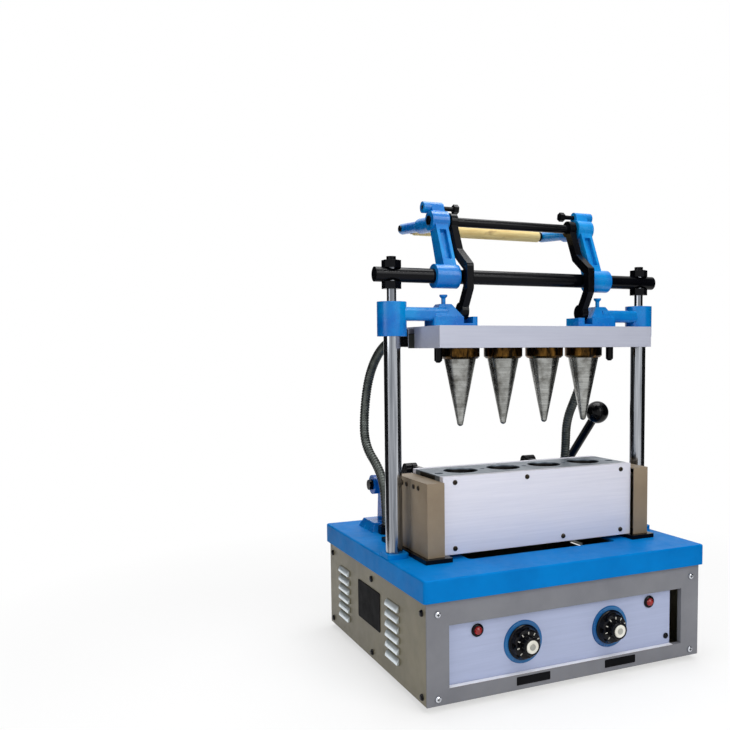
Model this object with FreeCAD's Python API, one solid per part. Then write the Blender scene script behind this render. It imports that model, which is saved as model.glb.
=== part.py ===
import FreeCAD
import Part
import math
import os

# Four-cone baking press: a heated split mould on a cabinet, four cores on a head that slides on
# two columns, and a hand toggle that brings the head down. Millimetres, +Z up, front towards -Y.

V = FreeCAD.Vector

# Fits and clearances
RUNNING_FIT = 0.05
HOLE_FIT = 0.1
MOVING_GAP = 0.3

# Cabinet
FOOT_HEIGHT = 8.0
FOOT_DIAMETER = 30.0
FOOT_TAPER = 3.0
FOOT_INSET = 40.0
CABINET_DEPTH = 380.0
CABINET_HEIGHT = 132.0
SHEET = 2.0
FLANGE = 18.0

# Top plate
PLATE_OVERHANG = 5.0
PLATE_LIP = 29.0
PLATE_SHEET = 3.0
PLATE_CORNER = 4.0
PLATE_EDGE = 2.5
SLOT_LENGTH = 240.0
SLOT_WIDTH = 120.0
SLOT_CORNER = 6.0

# Front frame and control panel
FRAME_SIDE = 31.0
WINDOW_HEIGHT = 80.0
WINDOW_BOTTOM = 20.0
WINDOW_LIP = 6.0
PANEL_LAP = 8.0
PANEL_SIDE_LAP = 4.0
PANEL_END_GAP = 14.0
CONTROL_SHIFT = -4.0
DIAL_SPACING = 138.0
DIAL_HEIGHT = 60.0
LAMP_SPACING = 273.0
LAMP_HEIGHT = 85.5

# Dials, knobs and lamps
DIAL_RING_DIAMETER = 58.0
DIAL_RING_BORE = 40.0
DIAL_RING_HEIGHT = 2.0
KNOB_SKIRT_DIAMETER = 47.0
KNOB_SKIRT_HEIGHT = 2.5
KNOB_GRIP_DIAMETER = 42.0
KNOB_FACE_DIAMETER = 39.0
KNOB_BODY_LENGTH = 12.0
KNOB_NOSE_DIAMETER = 24.0
KNOB_LENGTH = 22.0
KNOB_FLUTES = 8
KNOB_FLUTE_DIAMETER = 9.0
KNOB_CAP_DIAMETER = 18.0
KNOB_CAP_RECESS = 1.5
KNOB_SKIRT_STEP = 1.0
KNOB_SHOULDER = 2.0
KNOB_NOSE_EDGE = 1.0
SPINDLE_DIAMETER = 6.0
SPINDLE_REACH = 12.0
BUSH_DIAMETER = 10.0
THERMOSTAT_WIDTH = 44.0
THERMOSTAT_DEPTH = 30.0
LAMP_BEZEL_DIAMETER = 17.0
LAMP_BEZEL_HEIGHT = 3.0
LAMP_BEZEL_RIM = 1.0
LAMP_LENS_DIAMETER = 11.0
LAMP_LENS_HEIGHT = 6.0
LAMP_BODY_DIAMETER = 12.0
LAMP_BODY_LENGTH = 24.0

# Louvres in both side panels
LOUVRE_COLUMNS = (116.0, -82.0)
LOUVRE_COUNT = 6
LOUVRE_PITCH = 14.2
LOUVRE_FIRST = 25.0
LOUVRE_LENGTH = 43.0
LOUVRE_HEIGHT = 9.0
LOUVRE_RISE = 4.5
LOUVRE_SHEET = 1.2

# Cabinet screws
SCREW_HEAD_DIAMETER = 9.0
SCREW_HEAD_HEIGHT = 3.0
SCREW_SHANK_DIAMETER = 4.0
SCREW_GRIP = 4.0
FRONT_SCREW_INSET = 15.0
SCREW_TOP = 116.0
SCREW_LOW = 9.0
SIDE_SCREW_INSET = 14.0

# Press axis, columns and main shaft
PRESS_Y = -61.5
COLUMN_CLEARANCE = 13.0
COLUMN_INSET = 15.5
COLUMN_DIAMETER = 23.0
SPIGOT_DIAMETER = 14.0
SPIGOT_LENGTH = 17.0
COLUMN_BOSS_WALL = 4.0
COLUMN_BOSS_EDGE = 0.5
COLUMN_BOSS_DEPTH = 36.0
COLUMN_BOSS_HEIGHT = 6.0
COLUMN_BOSS_ROUND = 6.0
COLUMN_NUT_FLATS = 22.0
COLUMN_NUT_HEIGHT = 10.0
COLUMN_NOTCH_WIDTH = 40.0
COLUMN_NOTCH_DEPTH = 18.0
STUD_DIAMETER = 13.0
STUD_NUT_FLATS = 23.0
STUD_NUT_HEIGHT = 10.0
STUD_TIP = 5.0
SHAFT_DIAMETER = 20.0
SHAFT_OVERHANG = 24.5
SHAFT_RISE = 36.0
SHAFT_FLAT = 1.0

# Split mould
RAIL_WIDTH = 39.0
RAIL_HEIGHT = 6.0
RAIL_LEAD = 15.0
MOULD_END_WALL = 16.6
MOULD_HEIGHT = 105.6
HALF_DEPTH = 39.4
PARTING_GAP = 0.3
MOULD_COVER_DEPTH = 10.0
END_COVER_GAP = 1.0
END_COVER_WIDTH = 25.0
END_COVER_DROP = 6.5
END_COVER_LEAD = 7.0
END_COVER_SHEET = 1.5
HEATER_DIAMETER = 10.0
HEATER_SPACING = 64.0
GUIDE_PIN_DIAMETER = 12.0
GUIDE_PIN_INSET = 14.0
GUIDE_PIN_DEPTH = 22.0
GUIDE_PIN_REACH = 45.0
TOP_HOLE_DIAMETER = 7.0
TOP_HOLE_DEPTH = 6.0
MOULD_SCREW_HEAD_DIAMETER = 7.0
MOULD_SCREW_HEAD_HEIGHT = 2.0
MOULD_SCREW_DIAMETER = 4.0
MOULD_SCREW_GRIP = 6.0
MOULD_SCREW_EDGE = 8.0
MOULD_SCREW_END = 18.0
MOULD_SCREW_TOP_SHIFT = -24.0
MOULD_SCREW_LOW_SHIFT = 36.0
END_SCREW_DROP = 9.0
END_SCREW_EDGE = 12.0

# Cores
CORE_COUNT = 4
CORE_PITCH = 68.7
CORE_DIAMETER = 45.0
CORE_LENGTH = 94.0
CORE_TIP_RADIUS = 4.5
CORE_SHANK_DIAMETER = 30.0
WAFER_GAP = 2.0
COLLAR_DIAMETER = 55.0
COLLAR_HEIGHT = 15.0
COLLAR_STEP = 3.0

# Press head
HEAD_STROKE = 156.0
SEAT_GAP = 0.4
HEAD_OVERHANG = 15.0
HEAD_HEIGHT = 29.0
HEAD_FRONT = 74.5
HEAD_BACK = 33.5
HEAD_FLANGE = 81.0
CORE_PLATE_HEIGHT = 20.0
TERMINAL_BOX_STEP = 4.0
TERMINAL_BOX_DEPTH = 42.0
TERMINAL_BOX_INSET = 2.0
LOCATING_PIN_INSET = 12.0
LOCATING_PIN_LEAD = 12.0
LOCATING_PIN_DIAMETER = 11.0
LOCATING_PIN_LENGTH = 20.0
LOCATING_PIN_TIP = 3.0

# Sliding brackets
SLEEVE_DIAMETER = 40.0
SLEEVE_LENGTH = 46.0
SLEEVE_RISE = 7.0
BUSH_WALL = 3.0
ARM_LIFT = 8.0
ARM_HEIGHT = 18.0
ARM_DEPTH = 30.0
ARM_ROUND = 5.0
PAD_WALL = 9.0
PAD_LENGTH = 67.0
PAD_DEPTH = 38.0
PAD_HEIGHT = 14.0
PAD_FLOOR = 5.0
HUMP_SETBACK = 22.0
HUMP_HEIGHT = 17.0
HUMP_TOP_DIAMETER = 17.0
HUMP_INSET = 2.0
THUMB_SHANK_DIAMETER = 6.0
THUMB_SHANK_LENGTH = 20.0
THUMB_SINK = 12.0
THUMB_HEAD_DIAMETER = 11.0
THUMB_HEAD_HEIGHT = 5.0

# Toggle: lever arms, crank rod, links and handle
CRANK_RADIUS = 86.0
CRANK_LEAN = 22.0
CRANK_ROD_DIAMETER = 13.0
CRANK_ROD_TAIL = 2.0
LEVER_BOSS_DIAMETER = 33.0
LEVER_BOSS_LENGTH = 35.0
LEVER_SETBACK = 3.0
LEVER_WIDTH = 19.0
LEVER_DEPTH_LOW = 25.0
LEVER_DEPTH_HIGH = 19.0
LEVER_CHANNEL_RIM = 4.5
LEVER_CHANNEL_DEPTH = 5.0
LEVER_HEAD_DIAMETER = 28.0
LEVER_HEAD_LENGTH = 26.0
CLAMP_BOSS_DIAMETER = 16.0
CLAMP_BOSS_LENGTH = 30.0
CLAMP_BOSS_RISE = 20.5
CLAMP_BOLT_DIAMETER = 6.5
CLAMP_BOLT_REACH = 18.0
CLAMP_HEAD_DIAMETER = 12.0
CLAMP_HEAD_LENGTH = 7.0
LINK_X = 99.0
LINK_SIDE_GAP = 4.0
LINK_THICKNESS = 10.0
LINK_WIDTH = 13.0
LINK_EYE_DIAMETER = 24.0
LINK_PIVOT_RISE = 22.0
LINK_KNEE_BACK = 11.5
LINK_KNEE_RISE = 35.0
LINK_FRONT = 19.5
LINK_FRONT_RISE = 13.0
LINK_FRONT_DROP = 15.0
LINK_SLOT_GAP = 2.0
LINK_SLOT_BACK = 3.0
HANDLE_SETBACK = 13.0
HANDLE_TUBE_DIAMETER = 16.0
HANDLE_SOCKET_DIAMETER = 22.0
HANDLE_SOCKET_LENGTH = 34.0
HANDLE_START = 16.0
HANDLE_DROP = 3.0
GRIP_BACK = 141.5
GRIP_RISE = 83.0
GRIP_TUBE_TAIL = 10.0
GRIP_DIAMETER = 18.0
GRIP_END_GAP = 1.2
GRIP_SPINDLE_DIAMETER = 9.0
GRIP_SPINDLE_TAIL = 2.0
FERRULE_DIAMETER = 15.0
FERRULE_LENGTH = 2.5

# Mould opening gear
OPENING_Y = 125.0
OPENING_RISE = 69.5
OPENING_SHAFT_DIAMETER = 16.0
OPENING_SHAFT_TAIL = 6.0
OPENING_SHAFT_TIP = 2.0
BEARING_X = 152.0
BEARING_DIAMETER = 30.0
BEARING_LENGTH = 28.0
BEARING_STEM = 13.0
BEARING_STEM_DEPTH = 24.0
BEARING_FOOT_LENGTH = 62.0
BEARING_FOOT_WIDTH = 40.0
BEARING_FOOT_HEIGHT = 13.0
LEVER_HUB_GAP = 14.0
LEVER_ROD_DIAMETER = 14.0
LEVER_ROD_LENGTH = 142.0
LEVER_ROD_LEAN = 43.5
LEVER_HUB_DIAMETER = 28.0
LEVER_HUB_LENGTH = 20.0
BALL_DIAMETER = 36.5
BALL_SOCKET = 12.0
THROW_RADIUS = 30.0
THROW_LEAN = 40.0
THROW_GAP = 1.0
THROW_THICKNESS = 10.0
THROW_HUB_DIAMETER = 28.0
THROW_EYE_DIAMETER = 20.0
THROW_PIN_DIAMETER = 9.0
ROD_X = 103.0
ROD_THICKNESS = 8.0
ROD_WIDTH = 12.0
ROD_EYE_DIAMETER = 20.0
LUG_THICKNESS = 9.0
LUG_REACH = 16.0
LUG_DIAMETER = 20.0

# Conduits and glands
CONDUIT_DIAMETER = 14.5
CONDUIT_BORE = 9.5
CONDUIT_RIB_DEPTH = 1.1
CONDUIT_RIB_PITCH = 9.0
LEFT_GLAND_X = -150.0
RIGHT_GLAND_X = 150.0
RIGHT_GLAND_Y = 2.0
HEAD_GLAND_LENGTH = 12.0
GLAND_FLATS = 22.0
BASE_GLAND_HEIGHT = 12.0
CABLE_GLAND_FLATS = 24.0
CABLE_GLAND_HEX = 10.0
CABLE_GLAND_DIAMETER = 20.0
CABLE_GLAND_BORE = 11.0
CABLE_GLAND_REACH = 16.3
CABLE_GLAND_RIM = 1.5
CABLE_GLAND_X = 120.0
CABLE_GLAND_RISE = 45.0

# Levels and places that follow from the sizes above
MOULD_LENGTH = CORE_COUNT * CORE_PITCH + 2 * MOULD_END_WALL
MOULD_END = MOULD_LENGTH / 2
MOULD_STROKE = 2 * THROW_RADIUS * math.sin(math.radians(THROW_LEAN))
END_COVER_OUT = MOULD_END + END_COVER_GAP + END_COVER_WIDTH
RAIL_SPACING = MOULD_LENGTH + END_COVER_WIDTH
GUIDE_PIN_SPACING = MOULD_LENGTH - 2 * GUIDE_PIN_INSET
LOCATING_PIN_SPACING = MOULD_LENGTH - 2 * LOCATING_PIN_INSET
LOCATING_PIN_Y = PRESS_Y - LOCATING_PIN_LEAD
HEAD_WIDTH = MOULD_LENGTH + 2 * HEAD_OVERHANG
TERMINAL_BOX_WIDTH = HEAD_WIDTH - 2 * TERMINAL_BOX_STEP
COLUMN_X = END_COVER_OUT + COLUMN_CLEARANCE + COLUMN_DIAMETER / 2
PLATE_WIDTH = 2 * (COLUMN_X + COLUMN_INSET)
CABINET_WIDTH = PLATE_WIDTH - 2 * PLATE_OVERHANG
WINDOW_WIDTH = CABINET_WIDTH - 2 * FRAME_SIDE
SHAFT_LENGTH = 2 * (COLUMN_X + SHAFT_OVERHANG)
PAD_INNER = LINK_X - LINK_THICKNESS / 2 - LINK_SLOT_GAP - PAD_WALL
PAD_OUTER = PAD_INNER + PAD_LENGTH
HUMP_X = PAD_OUTER - HUMP_SETBACK
LEVER_BOSS_INNER = LINK_X + LINK_THICKNESS / 2 + LINK_SIDE_GAP
LEVER_BOSS_OUTER = LEVER_BOSS_INNER + LEVER_BOSS_LENGTH
LEVER_INNER = LEVER_BOSS_INNER + LEVER_SETBACK
LEVER_OUTER = LEVER_INNER + LEVER_WIDTH
LEVER_HEAD_OUTER = LEVER_BOSS_INNER + LEVER_HEAD_LENGTH
CLAMP_BOSS_OUTER = LEVER_INNER + CLAMP_BOSS_LENGTH
CRANK_ROD_LENGTH = 2 * (LEVER_HEAD_OUTER + CRANK_ROD_TAIL)
HANDLE_X = LEVER_INNER + HANDLE_SETBACK
GRIP_LENGTH = 2 * (HANDLE_X - HANDLE_TUBE_DIAMETER / 2 - GRIP_END_GAP - FERRULE_LENGTH - MOVING_GAP)
GRIP_SPINDLE_LENGTH = 2 * (HANDLE_X + HANDLE_TUBE_DIAMETER / 2 + GRIP_SPINDLE_TAIL)
LEVER_ROD_X = BEARING_X + BEARING_LENGTH / 2 + LEVER_HUB_GAP + LEVER_HUB_LENGTH / 2
OPENING_SHAFT_LEFT = BEARING_X + BEARING_LENGTH / 2 + OPENING_SHAFT_TAIL
OPENING_SHAFT_RIGHT = LEVER_ROD_X + LEVER_HUB_LENGTH / 2 + OPENING_SHAFT_TIP
THROW_X = ROD_X + ROD_THICKNESS / 2 + THROW_GAP + THROW_THICKNESS / 2
CABINET_BOTTOM = FOOT_HEIGHT
LIP_BOTTOM = CABINET_BOTTOM + CABINET_HEIGHT
PLATE_TOP = LIP_BOTTOM + PLATE_LIP
PLATE_UNDER = PLATE_TOP - PLATE_SHEET
PLATE_DEPTH = CABINET_DEPTH + 2 * PLATE_OVERHANG
FRONT_Y = -CABINET_DEPTH / 2
PANEL_FACE = FRONT_Y + SHEET + WINDOW_LIP
PANEL_BACK = PANEL_FACE + SHEET
DIAL_PLACES = [CONTROL_SHIFT + side * DIAL_SPACING / 2 for side in (-1, 1)]
LAMP_PLACES = [CONTROL_SHIFT + side * LAMP_SPACING / 2 for side in (-1, 1)]
DIAL_Z = CABINET_BOTTOM + DIAL_HEIGHT
LAMP_Z = CABINET_BOTTOM + LAMP_HEIGHT
KNOB_BACK = PANEL_FACE - DIAL_RING_HEIGHT - MOVING_GAP
MOULD_BOTTOM = PLATE_TOP + RAIL_HEIGHT
MOULD_TOP = MOULD_BOTTOM + MOULD_HEIGHT
MOULD_FACE = PARTING_GAP / 2 + HALF_DEPTH
MOULD_OUT = MOULD_FACE + MOULD_COVER_DEPTH
CORE_PLACES = [(i - (CORE_COUNT - 1) / 2) * CORE_PITCH for i in range(CORE_COUNT)]
COLLAR_BOTTOM = MOULD_TOP + SEAT_GAP + HEAD_STROKE
HEAD_BOTTOM = COLLAR_BOTTOM + COLLAR_HEIGHT
HEAD_TOP = HEAD_BOTTOM + HEAD_HEIGHT
HEAD_END = HEAD_WIDTH / 2
ARM_BOTTOM = HEAD_TOP + ARM_LIFT
ARM_TOP = ARM_BOTTOM + ARM_HEIGHT
SLEEVE_TOP = ARM_TOP + SLEEVE_RISE
SLEEVE_BOTTOM = SLEEVE_TOP - SLEEVE_LENGTH
PAD_TOP = HEAD_TOP + PAD_HEIGHT
HUMP_TOP = PAD_TOP + HUMP_HEIGHT
SHAFT_Z = SLEEVE_TOP + SHAFT_RISE
LEAN = math.radians(CRANK_LEAN)
CRANK_Y = PRESS_Y + CRANK_RADIUS * math.sin(LEAN)
CRANK_Z = SHAFT_Z + CRANK_RADIUS * math.cos(LEAN)
LINK_PIVOT_Z = HEAD_TOP + LINK_PIVOT_RISE
GRIP_Y = PRESS_Y + GRIP_BACK
GRIP_Z = SHAFT_Z + GRIP_RISE
OPENING_Z = PLATE_TOP + OPENING_RISE
THROW_Y = OPENING_Y - THROW_RADIUS * math.sin(math.radians(THROW_LEAN))
THROW_Z = OPENING_Z + THROW_RADIUS * math.cos(math.radians(THROW_LEAN))
LUG_Y = PRESS_Y + MOULD_OUT + LUG_REACH
TERMINAL_BACK = PRESS_Y + HEAD_BACK + TERMINAL_BOX_DEPTH
TERMINAL_BOTTOM = HEAD_BOTTOM + TERMINAL_BOX_INSET
HEAD_GLAND_Z = HEAD_BOTTOM + HEAD_HEIGHT / 2
LEFT_START = (LEFT_GLAND_X, TERMINAL_BACK + HEAD_GLAND_LENGTH, HEAD_GLAND_Z)
RIGHT_START = (RIGHT_GLAND_X, RIGHT_GLAND_Y, TERMINAL_BOTTOM - HEAD_GLAND_LENGTH)
CONDUIT_END_Z = PLATE_TOP + BASE_GLAND_HEIGHT

# Routes of the two conduits, from the head's gland down to the base's gland
LEFT_ROUTE = [
    LEFT_START, (-150.0, 66.0, HEAD_GLAND_Z), (-158.6, 100.7, 452.0), (-164.4, 136.4, 412.4),
    (-170.7, 143.0, 355.7), (-176.8, 127.8, 301.6), (-160.7, 101.9, 264.2), (-160.0, 80.0, 225.4),
    (-160.0, 80.0, CONDUIT_END_Z),
]
RIGHT_ROUTE = [
    RIGHT_START, (150.0, 2.0, 413.0), (142.0, 14.0, 374.0), (138.5, 36.0, 334.0),
    (143.5, 45.5, 286.0), (140.0, 47.5, 234.0), (140.0, 47.5, CONDUIT_END_Z),
]


def box(x, y, z):
    """Block between a low and a high value on each axis."""
    return Part.makeBox(x[1] - x[0], y[1] - y[0], z[1] - z[0], V(x[0], y[0], z[0]))


def around(middle, width):
    """Low and high value of a width about its middle."""
    return (middle - width / 2, middle + width / 2)


def bar(start, end, diameter):
    """Round bar from one point to another."""
    run = V(*end) - V(*start)
    return Part.makeCylinder(diameter / 2, run.Length, V(*start), run)


def lathe(profile, base, axis):
    """Solid turned from (radius, height) pairs about an axis that starts at base."""
    points = [V(radius, 0, height) for radius, height in profile]
    turned = Part.Face(Part.makePolygon(points + points[:1])).revolve(V(0, 0, 0), V(0, 0, 1), 360)
    turned.Placement = FreeCAD.Placement(V(*base), FreeCAD.Rotation(V(0, 0, 1), V(*axis)))
    return turned


def plate_x(outline, low, high):
    """Plate cut to an outline of (y, z) points, between two values of x."""
    points = [V(low, y, z) for y, z in outline]
    return Part.Face(Part.makePolygon(points + points[:1])).extrude(V(high - low, 0, 0))


def hexagon(base, axis, flats, height, bore=0.0):
    """Hexagonal nut or gland body that starts at base."""
    reach = flats / math.sqrt(3)
    turns = [(i + 0.5) * math.pi / 3 for i in range(7)]
    corners = [V(reach * math.cos(turn), reach * math.sin(turn), 0) for turn in turns]
    nut = Part.Face(Part.makePolygon(corners)).extrude(V(0, 0, height))
    if bore:
        nut = nut.cut(Part.makeCylinder(bore / 2, height))
    nut.Placement = FreeCAD.Placement(V(*base), FreeCAD.Rotation(V(0, 0, 1), V(*axis)))
    return nut


def fuse(shapes):
    """One solid from overlapping shapes."""
    return shapes[0].multiFuse(shapes[1:]).removeSplitter()


def cut(shape, tools):
    """Shape with every tool taken away."""
    return shape.cut(Part.makeCompound(tools))


def mirrored(shape):
    """The same shape on the other side of the machine."""
    return shape.mirror(V(0, 0, 0), V(1, 0, 0))


def both_sides(shape):
    """The shape and its mirror image."""
    return [shape, mirrored(shape)]


def upright_edges(shape):
    """Edges that run straight up."""
    return [e for e in shape.Edges if e.BoundBox.XLength < 1e-6 and e.BoundBox.YLength < 1e-6]


def long_edges(shape):
    """Edges that run from side to side."""
    return [e for e in shape.Edges if e.BoundBox.YLength < 1e-6 and e.BoundBox.ZLength < 1e-6]


def top_edges(shape):
    """Edges that lie in the highest face."""
    return [e for e in shape.Edges if e.BoundBox.ZMin > shape.BoundBox.ZMax - 1e-6]


def pan_screw(seat, out, head_diameter, head_height, shank_diameter, grip):
    """Pan-head screw whose head stands out from its seat, with a shank that goes in by its grip."""
    head, shank = head_diameter / 2, shank_diameter / 2
    profile = [(0, -grip), (shank, -grip), (shank, 0), (head, 0), (0.85 * head, 0.75 * head_height),
               (0.5 * head, head_height), (0, head_height)]
    return lathe(profile, seat, out)


def screw_hole(seat, out, shank_diameter, grip):
    """Clearance for a screw's shank."""
    end = V(*seat) - V(*out) * grip
    return bar(tuple(end), seat, shank_diameter + 2 * HOLE_FIT)


def cabinet_screw(seat, out):
    return pan_screw(seat, out, SCREW_HEAD_DIAMETER, SCREW_HEAD_HEIGHT, SCREW_SHANK_DIAMETER, SCREW_GRIP)


def cabinet_screw_hole(seat, out):
    return screw_hole(seat, out, SCREW_SHANK_DIAMETER, SCREW_GRIP)


def mould_screw(seat, out, grip=MOULD_SCREW_GRIP):
    return pan_screw(seat, out, MOULD_SCREW_HEAD_DIAMETER, MOULD_SCREW_HEAD_HEIGHT, MOULD_SCREW_DIAMETER,
                     grip)


def mould_screw_hole(seat, out, grip=MOULD_SCREW_GRIP):
    return screw_hole(seat, out, MOULD_SCREW_DIAMETER, grip)


# Where the screws go

def front_screw_seats():
    x_place = CABINET_WIDTH / 2 - FRONT_SCREW_INSET
    return [(x, FRONT_Y, CABINET_BOTTOM + z) for x in (-x_place, x_place) for z in (SCREW_TOP, SCREW_LOW)]


def side_screw_seats():
    y_place = CABINET_DEPTH / 2 - SIDE_SCREW_INSET
    return [(CABINET_WIDTH / 2, y, CABINET_BOTTOM + z) for y in (-y_place, 0, y_place)
            for z in (SCREW_TOP, SCREW_LOW)]


def back_screw_seats():
    return [(x, -y, z) for x, y, z in front_screw_seats()]


def cabinet_screws():
    """Screws of the side and back panels."""
    screws = [cabinet_screw(seat, (0, 1, 0)) for seat in back_screw_seats()]
    for seat in side_screw_seats():
        screws += both_sides(cabinet_screw(seat, (1, 0, 0)))
    return screws


def mould_cover_screw_places():
    end = MOULD_END - MOULD_SCREW_END
    top = [(x, MOULD_TOP - MOULD_SCREW_EDGE) for x in (-end, MOULD_SCREW_TOP_SHIFT, end)]
    low = [(x, MOULD_BOTTOM + MOULD_SCREW_EDGE) for x in (-end, MOULD_SCREW_LOW_SHIFT, end)]
    return top + low


def end_screw_seats(way):
    x_place = MOULD_END + END_COVER_GAP + END_COVER_WIDTH
    height = MOULD_TOP - END_COVER_DROP - END_SCREW_DROP
    return [(x_place, PRESS_Y + way * (MOVING_GAP + reach), height)
            for reach in (END_SCREW_EDGE, MOULD_FACE - END_SCREW_EDGE)]


# Cabinet

def rubber_feet():
    x_place = CABINET_WIDTH / 2 - FOOT_INSET
    y_place = CABINET_DEPTH / 2 - FOOT_INSET
    wide = FOOT_DIAMETER / 2
    profile = [(0, 0), (wide - FOOT_TAPER, 0), (wide, FOOT_HEIGHT), (0, FOOT_HEIGHT)]
    return [lathe(profile, (x, y, 0), (0, 0, 1)) for x in (-x_place, x_place) for y in (-y_place, y_place)]


def bottom_tray():
    """Floor with four upturned edges, inside the side panels' flanges."""
    x_half = CABINET_WIDTH / 2 - SHEET
    y_half = CABINET_DEPTH / 2 - 2 * SHEET
    tray = box((-x_half, x_half), (-y_half, y_half), (CABINET_BOTTOM, CABINET_BOTTOM + FLANGE))
    inside = box((-x_half + SHEET, x_half - SHEET), (-y_half + SHEET, y_half - SHEET),
                 (CABINET_BOTTOM + SHEET, CABINET_BOTTOM + FLANGE))
    holes = [cabinet_screw_hole(seat, (1, 0, 0)) for seat in side_screw_seats()]
    holes += [mirrored(hole) for hole in holes]
    return tray.cut(inside).cut(Part.makeCompound(holes))


def front_frame():
    """Face sheet with a lipped window for the control panel."""
    half = CABINET_WIDTH / 2
    low = CABINET_BOTTOM + WINDOW_BOTTOM
    high = low + WINDOW_HEIGHT
    side = WINDOW_WIDTH / 2
    face = box((-half, half), (FRONT_Y, FRONT_Y + SHEET), (CABINET_BOTTOM, PLATE_UNDER))
    lip = box((-side - SHEET, side + SHEET), (FRONT_Y, PANEL_FACE), (low - SHEET, high + SHEET))
    window = box((-side, side), (FRONT_Y, PANEL_FACE), (low, high))
    holes = [cabinet_screw_hole(seat, (0, -1, 0)) for seat in front_screw_seats()]
    return cut(fuse([face, lip]), [window] + holes)


def back_panel():
    """Plain rear sheet with the hole for the mains gland."""
    half = CABINET_WIDTH / 2
    sheet = box((-half, half), (-FRONT_Y - SHEET, -FRONT_Y), (CABINET_BOTTOM, PLATE_UNDER))
    z_gland = CABINET_BOTTOM + CABLE_GLAND_RISE
    inlet = bar((CABLE_GLAND_X, -FRONT_Y - SHEET, z_gland), (CABLE_GLAND_X, -FRONT_Y, z_gland),
                CABLE_GLAND_DIAMETER)
    holes = [cabinet_screw_hole(seat, (0, 1, 0)) for seat in back_screw_seats()]
    return cut(sheet, [inlet] + holes)


def louvre_curve(low, face, rise, height):
    """Profile of a pressed hood: a quarter of an oval that stands out from the panel."""
    lower = V(face + rise, 0, low)
    middle = V(face + 0.72 * rise, 0, low + 0.62 * height)
    upper = V(face, 0, low + height)
    arc = Part.Arc(lower, middle, upper).toShape()
    corner = V(face - SHEET, 0, low)
    inner = V(face - SHEET, 0, low + height)
    return Part.Face(Part.Wire([arc, Part.makeLine(upper, inner), Part.makeLine(inner, corner),
                                Part.makeLine(corner, lower)]))


def side_panel():
    """Right side panel with folded front and back edges and two columns of louvres."""
    face = CABINET_WIDTH / 2
    half = CABINET_DEPTH / 2 - SHEET
    web = box((face - SHEET, face), (-half, half), (CABINET_BOTTOM, PLATE_UNDER))
    folds = [box((face - FLANGE, face), edge, (CABINET_BOTTOM, PLATE_UNDER))
             for edge in ((-half, -half + SHEET), (half - SHEET, half))]
    hoods = []
    mouths = []
    for middle in LOUVRE_COLUMNS:
        for row in range(LOUVRE_COUNT):
            low = CABINET_BOTTOM + LOUVRE_FIRST + row * LOUVRE_PITCH
            hood = louvre_curve(low, face, LOUVRE_RISE, LOUVRE_HEIGHT).extrude(V(0, LOUVRE_LENGTH, 0))
            hood.translate(V(0, middle - LOUVRE_LENGTH / 2, 0))
            mouth_length = LOUVRE_LENGTH - 2 * LOUVRE_SHEET
            mouth = louvre_curve(low, face, LOUVRE_RISE - LOUVRE_SHEET, LOUVRE_HEIGHT - LOUVRE_SHEET)
            mouth = mouth.extrude(V(0, mouth_length, 0))
            mouth.translate(V(0, middle - mouth_length / 2, 0))
            hoods.append(hood)
            mouths.append(mouth)
    holes = [cabinet_screw_hole(seat, (1, 0, 0)) for seat in side_screw_seats()]
    holes += [cabinet_screw_hole(seat, (0, -1, 0)) for seat in front_screw_seats()]
    holes += [cabinet_screw_hole(seat, (0, 1, 0)) for seat in back_screw_seats()]
    notch = box((face - SHEET, face), around(PRESS_Y, COLUMN_NOTCH_WIDTH),
                (PLATE_UNDER - COLUMN_NOTCH_DEPTH, PLATE_UNDER))
    return cut(fuse([web] + folds + hoods), mouths + holes + [notch])


def top_plate():
    """Folded lid over the cabinet, with the mould's slot and the holes for columns and conduits."""
    x_half, y_half = PLATE_WIDTH / 2, PLATE_DEPTH / 2
    lid = box((-x_half, x_half), (-y_half, y_half), (LIP_BOTTOM, PLATE_TOP))
    lid = lid.makeFillet(PLATE_CORNER, upright_edges(lid))
    lid = lid.makeFillet(PLATE_EDGE, top_edges(lid))
    inside = box((-x_half + PLATE_SHEET, x_half - PLATE_SHEET), (-y_half + PLATE_SHEET, y_half - PLATE_SHEET),
                 (LIP_BOTTOM, PLATE_UNDER))
    slot = box(around(0, SLOT_LENGTH), around(PRESS_Y, SLOT_WIDTH), (PLATE_UNDER, PLATE_TOP))
    slot = slot.makeFillet(SLOT_CORNER, upright_edges(slot))
    holes = [bar((x, PRESS_Y, PLATE_UNDER), (x, PRESS_Y, PLATE_TOP), SPIGOT_DIAMETER + 2 * HOLE_FIT)
             for x in (-COLUMN_X, COLUMN_X)]
    for route in (LEFT_ROUTE, RIGHT_ROUTE):
        x, y, z = route[-1]
        holes.append(bar((x, y, PLATE_UNDER), (x, y, PLATE_TOP), CONDUIT_DIAMETER))
    return cut(lid, [inside, slot] + holes)


# Controls

def control_panel():
    """Panel behind the window, short of the frame at its right end."""
    low = CABINET_BOTTOM + WINDOW_BOTTOM - PANEL_LAP
    high = CABINET_BOTTOM + WINDOW_BOTTOM + WINDOW_HEIGHT + PANEL_LAP
    side = WINDOW_WIDTH / 2
    sheet = box((-side - PANEL_SIDE_LAP, side - PANEL_END_GAP), (PANEL_FACE, PANEL_BACK), (low, high))
    holes = [bar((x, PANEL_FACE, DIAL_Z), (x, PANEL_BACK, DIAL_Z), BUSH_DIAMETER) for x in DIAL_PLACES]
    holes += [bar((x, PANEL_FACE, LAMP_Z), (x, PANEL_BACK, LAMP_Z), LAMP_BODY_DIAMETER) for x in LAMP_PLACES]
    return cut(sheet, holes)


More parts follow.
